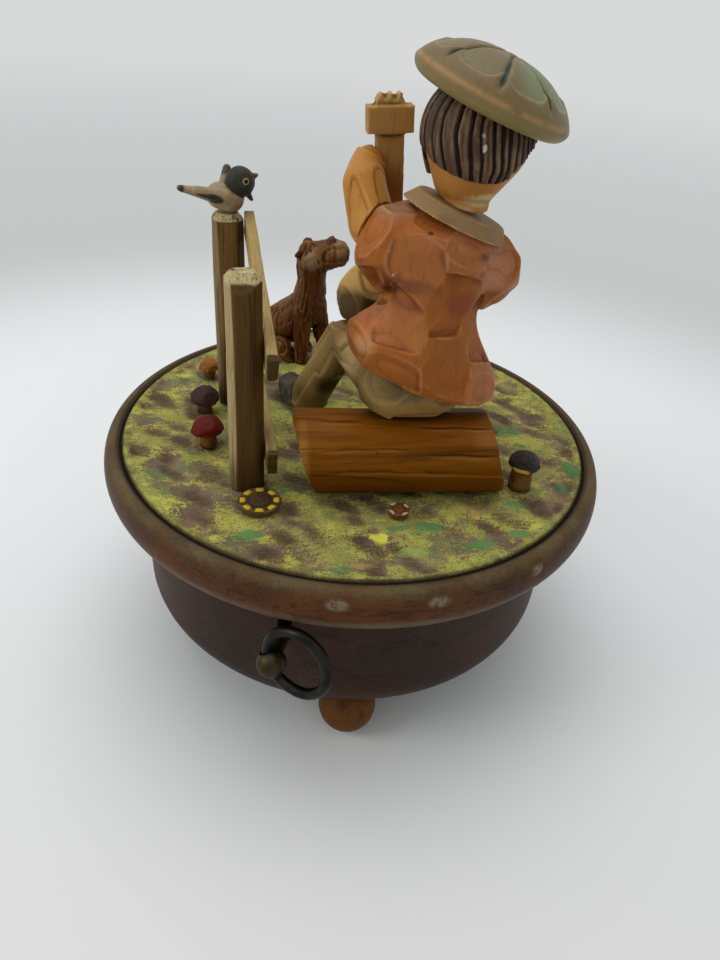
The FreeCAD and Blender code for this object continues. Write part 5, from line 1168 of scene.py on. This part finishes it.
def beret_dabs(finish):
    panel = finish.mark("panel")
    finish.paint(panel * 0.9, "#75694a")
    right = finish.spot(SEAT + (20, 0, 70), (9, 18, 14), 0.5)
    finish.paint(right * (panel * 0.75 + 0.2), "#788060")
    # Painted light: the lower band, where the beret faces down, is painted a lighter olive.
    finish.paint(finish.mark("under") * 0.7, "#857647")
    rubbed = finish.mark("rim") * finish.noise(1.8, 3.0, 0.65).between(0.25, 0.5)
    finish.paint(rubbed * 0.6, "#ab8654")
    edge = panel.between(0.25, 0.5) * panel.between(0.8, 0.55)
    finish.paint(edge * 0.4, "#a08f6c")
    # Painted shade: the seven cuts are painted a dark green.
    finish.paint(finish.mark("cut").between(0.3, 0.75), "#22372a")


beret_finish = limewood("beret_paint", "#74603f", "#6c5a3c", "#967f56", "#443e28", (1, 1, 1), 0.4,
                        beret_dabs, 0.2, 0.2, 0.15)
carve_beret().piece(beret_finish, "olive_paint")

# %% [markdown]
# ## The lute
# The lute's back is a rounded shell with a painted light on its upper half and a painted shade on its
# lower half, and the neck is a straight bar whose top is cut into small steps for the strings.

# %% Lute
# A painted light on the upper half of the lute's back, and a painted shade on its lower half.
LUTE_DABS = (((-12, 20, 27), (12, 16, 9), "#c49c58", 0.75, 0.5),
             ((-12, 16, 15), (12, 16, 9.5), "#2c1b03", 0.95, 0.3))
lute_finish = limewood("lute_wood", "#9c7834", "#8c692a", "#c2a066", "#4a3208", (1, 1, 0.4), 0.42, LUTE_DABS)
body = Blank("lute_body", 0.42).relax(1).facet(7.0, 31, (1, 1, 0.6), 2.0, 0.6, 0.6, 0.2)
body.piece(lute_finish, "lute_wood")

NECK_DABS = (((-6.5, 24, 46), (9, 6, 7), "#824c1e", 0.75, 0.8),
             ((-7, 22, 66), (6, 5, 2.4), "#b69a5d", 0.6, 0.6))
neck_finish = limewood("lute_neck_wood", "#a1773e", "#916a35", "#cda364", "#482e13", (1, 1, 0.08), 0.46,
                       NECK_DABS)
neck = Blank("lute_neck", 0.32).relax(1)
top_z = SEAT[2] + 65.9
near_top = np.clip((neck.at[:, 2] - top_z + 1.6) / 1.2, 0, 1)
neck.press(near_top * (0.45 + 0.45 * np.cos(neck.at[:, 0] * 3.0) + 0.2 * neck.drift(1.0, 3.0)))
neck.relax(1).piece(neck_finish, "lute_wood")

# %% [markdown]
# ## The dog and the bird
# The dog's coat is cut with a small gouge in long strokes that follow the body. The bird is smooth
# and painted: a slate head with a ringed eye, a red-brown beak, dark wings and a black tail tip.

# %% Dog
DOG = np.array((-13.0, 43.0, GROUND))


def dog_dabs(finish):
    finish.dabs((
        ((1.6, -4, 35.2), (5, 4, 4.4), "#a88c6a", 0.85, 0.7),
        ((9.6, -5.5, 39), (4, 4, 4.2), "#997946", 0.75, 0.6),
        ((5.8, -4.6, 36.5), (1.4, 3, 3.6), "#a08350", 0.7, 0.6),
        ((7.2, -3.8, 40.6), (2, 2.4, 1.8), "#201a11", 1.0, 0.3),
        ((8.2, -6.5, 37.5), (0.8, 2.4, 3.4), "#29180a", 0.8, 0.6),
        ((-2.6, -3.8, 36.6), (1.6, 2.4, 1.4), "#371e0d", 0.7, 0.6),
        ((2, -4, 14), (7, 6, 11), "#69360d", 0.5, 0.8)), DOG)


dog_finish = limewood("dog_wood", "#613714", "#562e10", "#8f6234", "#241005", (1, 1, 0.3), 0.4, dog_dabs,
                      0.8, 1.0)
dog = Blank("dog", 0.36).relax(3).facet(4.0, 41, (1, 1, 0.45), 3.0, 0.4, 0.5, 0.1)
stroke = dog.drift(1.3, 5.0, (1, 1, 0.2))
dog.press(0.3 * np.abs(stroke) ** 0.8 + 0.1 * dog.drift(3.0, 9.0))
dog.piece(dog_finish, "dog_wood")


# %% Bird
def bird_dabs(finish):
    def at(x, y, z):
        return by_fence(x, POST_SPACING + y, POST_HEIGHT + z)

    rows = [(at(2.2, 0, 2.2), (3.4, 4.6, 3), "#6e4525", 0.85, 0.6),
            (at(-2.6, 2.9, 4.6), (6.2, 1.6, 1.9), "#372f25", 1.0, 0.2),
            (at(-4.6, -3.0, 3.9), (5.2, 1.8, 1.7), "#372f25", 1.0, 0.2),
            (at(0.4, 4.0, 9.0), (2.2, 2, 3), "#443f35", 0.9, 0.4),
            (at(-12.2, 0, 5.4), (2.4, 2, 1.6), "#1c1a15", 1.0, 0.3),
            (at(3.4, 0, 7.2), (4.1, 4.2, 4.1), "#33322c", 1.0, 0.06),
            (at(7.9, 0, 8.9), (2.3, 2.2, 2.2), "#662f29", 1.0, 0.2),
            (at(6.6, 0, 3.8), (1.8, 2.2, 2.4), "#48241d", 1.0, 0.2),
            (at(7.4, 0, 6.6), (1.8, 2, 1.9), "#311712", 0.8, 0.4),
            (at(-4.6, 2.9, 4.6), (2.6, 1.8, 0.5), "#817257", 0.6, 0.8)]
    for side in (-1, 1):
        rows += [(at(4.6, side * 2.9, 8.0), (0.95, 1.4, 0.95), "#9c895e", 1.0, 0.2),
                 (at(4.7, side * 3.1, 8.0), (0.55, 1.4, 0.55), "#171511", 1.0, 0.2)]
    finish.dabs(rows, ORIGIN)


bird_finish = limewood("bird_paint", "#9a886a", "#907d5f", "#9c8b69", "#382b1b", (0.4, 1, 1), 0.45,
                       bird_dabs, 0.3, 0.4)
bird = Blank("bird", 0.26).relax(3).roughen(0.06, 1.0, 5.0, (0.4, 1, 1), 0.0)
bird.piece(bird_finish, "bird_paint")

# %% [markdown]
# ## Mushrooms
# Each mushroom is one whittled piece: a round cap on a thick stem, painted in two colours.

# %% Mushrooms
def mushroom(node, up, cap, cap_dark, stem, slot, rim=None):
    low, high = (np.array(corner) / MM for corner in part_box(node))
    x, y, _ = Blank.turned(np.array([(low + high) / 2]), -SCENE_TURN)[0]

    def dabs(finish):
        z = finish.axes()[2]
        finish.paint(z.between(GROUND + up + 0.25, GROUND + up - 0.25), stem)
        finish.paint(z.between(GROUND + 2.0, GROUND), "#2c1f10")
        if rim:
            band = z.between(GROUND + up + 1.2, GROUND + up + 0.9) * z.between(GROUND + up - 0.3, GROUND + up)
            side = finish.spot((x - 3.5, y - 3.5, GROUND + up), (4.5, 4.5, 3), 0.3)
            finish.paint(band * side, rim)

    finish = limewood(f"{node}_paint", cap, cap, cap_dark, cap_dark, rough=0.45, patches=dabs, ridge_wear_and_highlight=0.3)
    blank = Blank(node, 0.3).relax(3).facet(3.4, len(node), (1, 1, 1), 3.0, 0.3, 0.4, 0.1)
    blank.piece(finish, slot)


mushroom("red_mushroom", 4.6, "#611609", "#420e05", "#80501f", "red_paint")
mushroom("plum_mushroom", 4.0, "#3f2b24", "#281a18", "#5d4128", "plum_paint")
mushroom("tan_mushroom", 3.0, "#8e5a20", "#684018", "#6d471f", "amber_paint")
mushroom("dark_mushroom", 6.6, "#2b2521", "#3c3530", "#7a5422", "slate_paint", "#c4a93a")

# %% [markdown]
# ## Flowers
# Each flower is a low turned disc with raised petals. The petals repeat round a circle, which is
# work for Geometry Nodes: a tree sets copies of one petal on a circle and turns each to face out.

# %% Petals set round a circle by nodes
def petal(name, inner, outer, length, rise):
    """One petal as a low pillow, pointing along X, wider outside than inside."""
    steps, points = 7, []
    for i in range(steps):
        u = i / (steps - 1) * 2 - 1
        for j in range(steps):
            v = j / (steps - 1) * 2 - 1
            half = inner + (outer - inner) * (u + 1) / 2
            x = u * length / 2 * math.sqrt(1 - v * v * 0.2)
            y = v * half * math.sqrt(1 - u * u * 0.2)
            points.append((x * MM, y * MM, rise * MM * (1 - u ** 4) * (1 - v ** 4)))
    faces = [(i * steps + j, (i + 1) * steps + j, (i + 1) * steps + j + 1, i * steps + j + 1)
             for i in range(steps - 1) for j in range(steps - 1)]
    rim = ([i * steps for i in range(steps)] + [(steps - 1) * steps + j for j in range(1, steps)]
           + [i * steps + steps - 1 for i in range(steps - 2, -1, -1)] + list(range(steps - 2, 0, -1)))
    faces.append(tuple(reversed(rim)))
    mesh = bpy.data.meshes.new(name)
    mesh.from_pydata(points, [], faces)
    return add_object(name, mesh)


def petal_tree():
    graph, given = node_tree("petals_round_a_circle", [
        ("Petal", "Object", None), ("Count", "Int", 8), ("Radius", "Float", 0.004), ("Turn", "Float", 0.0),
        ("Place", "Vector", (0, 0, 0)), ("Material", "Material", None)])
    ring = graph.add("GeometryNodeMeshCircle", None, given["Count"], given["Radius"])
    along = graph.add("GeometryNodeInputIndex")
    angle = along / given["Count"] * (2 * math.pi)
    facing = graph.add("ShaderNodeCombineXYZ", None, 0.0, 0.0, angle)
    shape = graph.add("GeometryNodeObjectInfo", None, given["Petal"], out="Geometry")
    copies = graph.add("GeometryNodeInstanceOnPoints", None, ring, Instance=shape, Rotation=facing)
    spin = graph.add("ShaderNodeCombineXYZ", None, 0.0, 0.0, given["Turn"])
    placed = graph.add("GeometryNodeTransform", None, copies, Translation=given["Place"], Rotation=spin)
    return close_tree(graph, placed, given["Material"])


PETALS = petal_tree()


def set_petals(name, shape, count, radius, place, turn, material):
    shell = add_object(name, bpy.data.meshes.new(name))
    centre = Blank.turned(np.array([place]), SCENE_TURN)[0]
    run_tree(shell, PETALS, Petal=shape, Count=count, Radius=radius * MM, Turn=turn,
             Place=tuple(Vector(centre) * MM), Material=material)
    settle(shell)


# %% The two flowers
def set_heart(name, shape, place, material):
    """A bud in the middle of a flower, made of one petal shape."""
    mesh = shape.data.copy()
    mesh.transform(Matrix.Translation(Vector(Blank.turned(np.array([place]), SCENE_TURN)[0]) * MM))
    mesh.materials.append(material)
    settle(add_object(name, mesh))


def flower_disc(node, finish, slot):
    disc = Blank(node, 0.22).relax(2).facet(2.4, 5, (1, 1, 1), 2.0, 0.15, 0.3, 0.05)
    disc.piece(finish, slot)


def make_flowers():
    earth = limewood("flower_brown", "#42321f", "#4e3c27", "#7c6840", "#241a10", rough=0.55)
    yellow = limewood("flower_yellow", "#c2a01e", "#cbab2a", "#dcc75c", "#7c6120", rough=0.5, ridge_wear_and_highlight=0.5)
    straw = limewood("flower_straw", "#988044", "#a58d4e", "#c0ab6c", "#4a3920", rough=0.55)
    white = limewood("flower_white", "#b7a684", "#c2b292", "#d6cab0", "#6b5839", rough=0.5)
    bud = limewood("bud_brown", "#5c371c", "#683f22", "#8a6440", "#2e1a0e", rough=0.5)
    outer = petal("outer_petal", 0.95, 1.25, 1.55, 0.3)
    ring = petal("ring_petal", 0.5, 0.78, 0.5, 0.2)
    heart = petal("heart_petal", 0.5, 0.55, 1.0, 0.2)
    ray = petal("white_petal", 0.7, 1.15, 0.85, 0.25)
    flower_disc("large_flower", earth, "yellow_paint")
    large = np.array((-27.6, -37.6, GROUND + 1.9))
    set_petals("large_flower_petals", outer, 8, 4.05, large, 0.35, yellow)
    set_petals("large_flower_ring", ring, 9, 2.1, large, 0.1, straw)
    set_heart("large_flower_heart", heart, large + (0, 0, 0.02), straw)
    flower_disc("small_flower", bud, "amber_paint")
    small = np.array((6.0, -41.8, GROUND + 1.9))
    set_petals("small_flower_rays", ray, 4, 2.2, small - (0, 0, 0.1), 0.9, white)
    set_heart("small_flower_heart", heart, small + (0, 0, 0.15), yellow)
    for shape in (outer, ring, heart, ray):
        bpy.data.objects.remove(shape)


make_flowers()

dressed_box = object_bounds()
boxes = {"packed": [list(corner) for corner in packed_box],
         "dressed": [list(corner) for corner in dressed_box]}
for label, corners in boxes.items():
    print(label, [[round(v / MM, 1) for v in corner] for corner in corners])
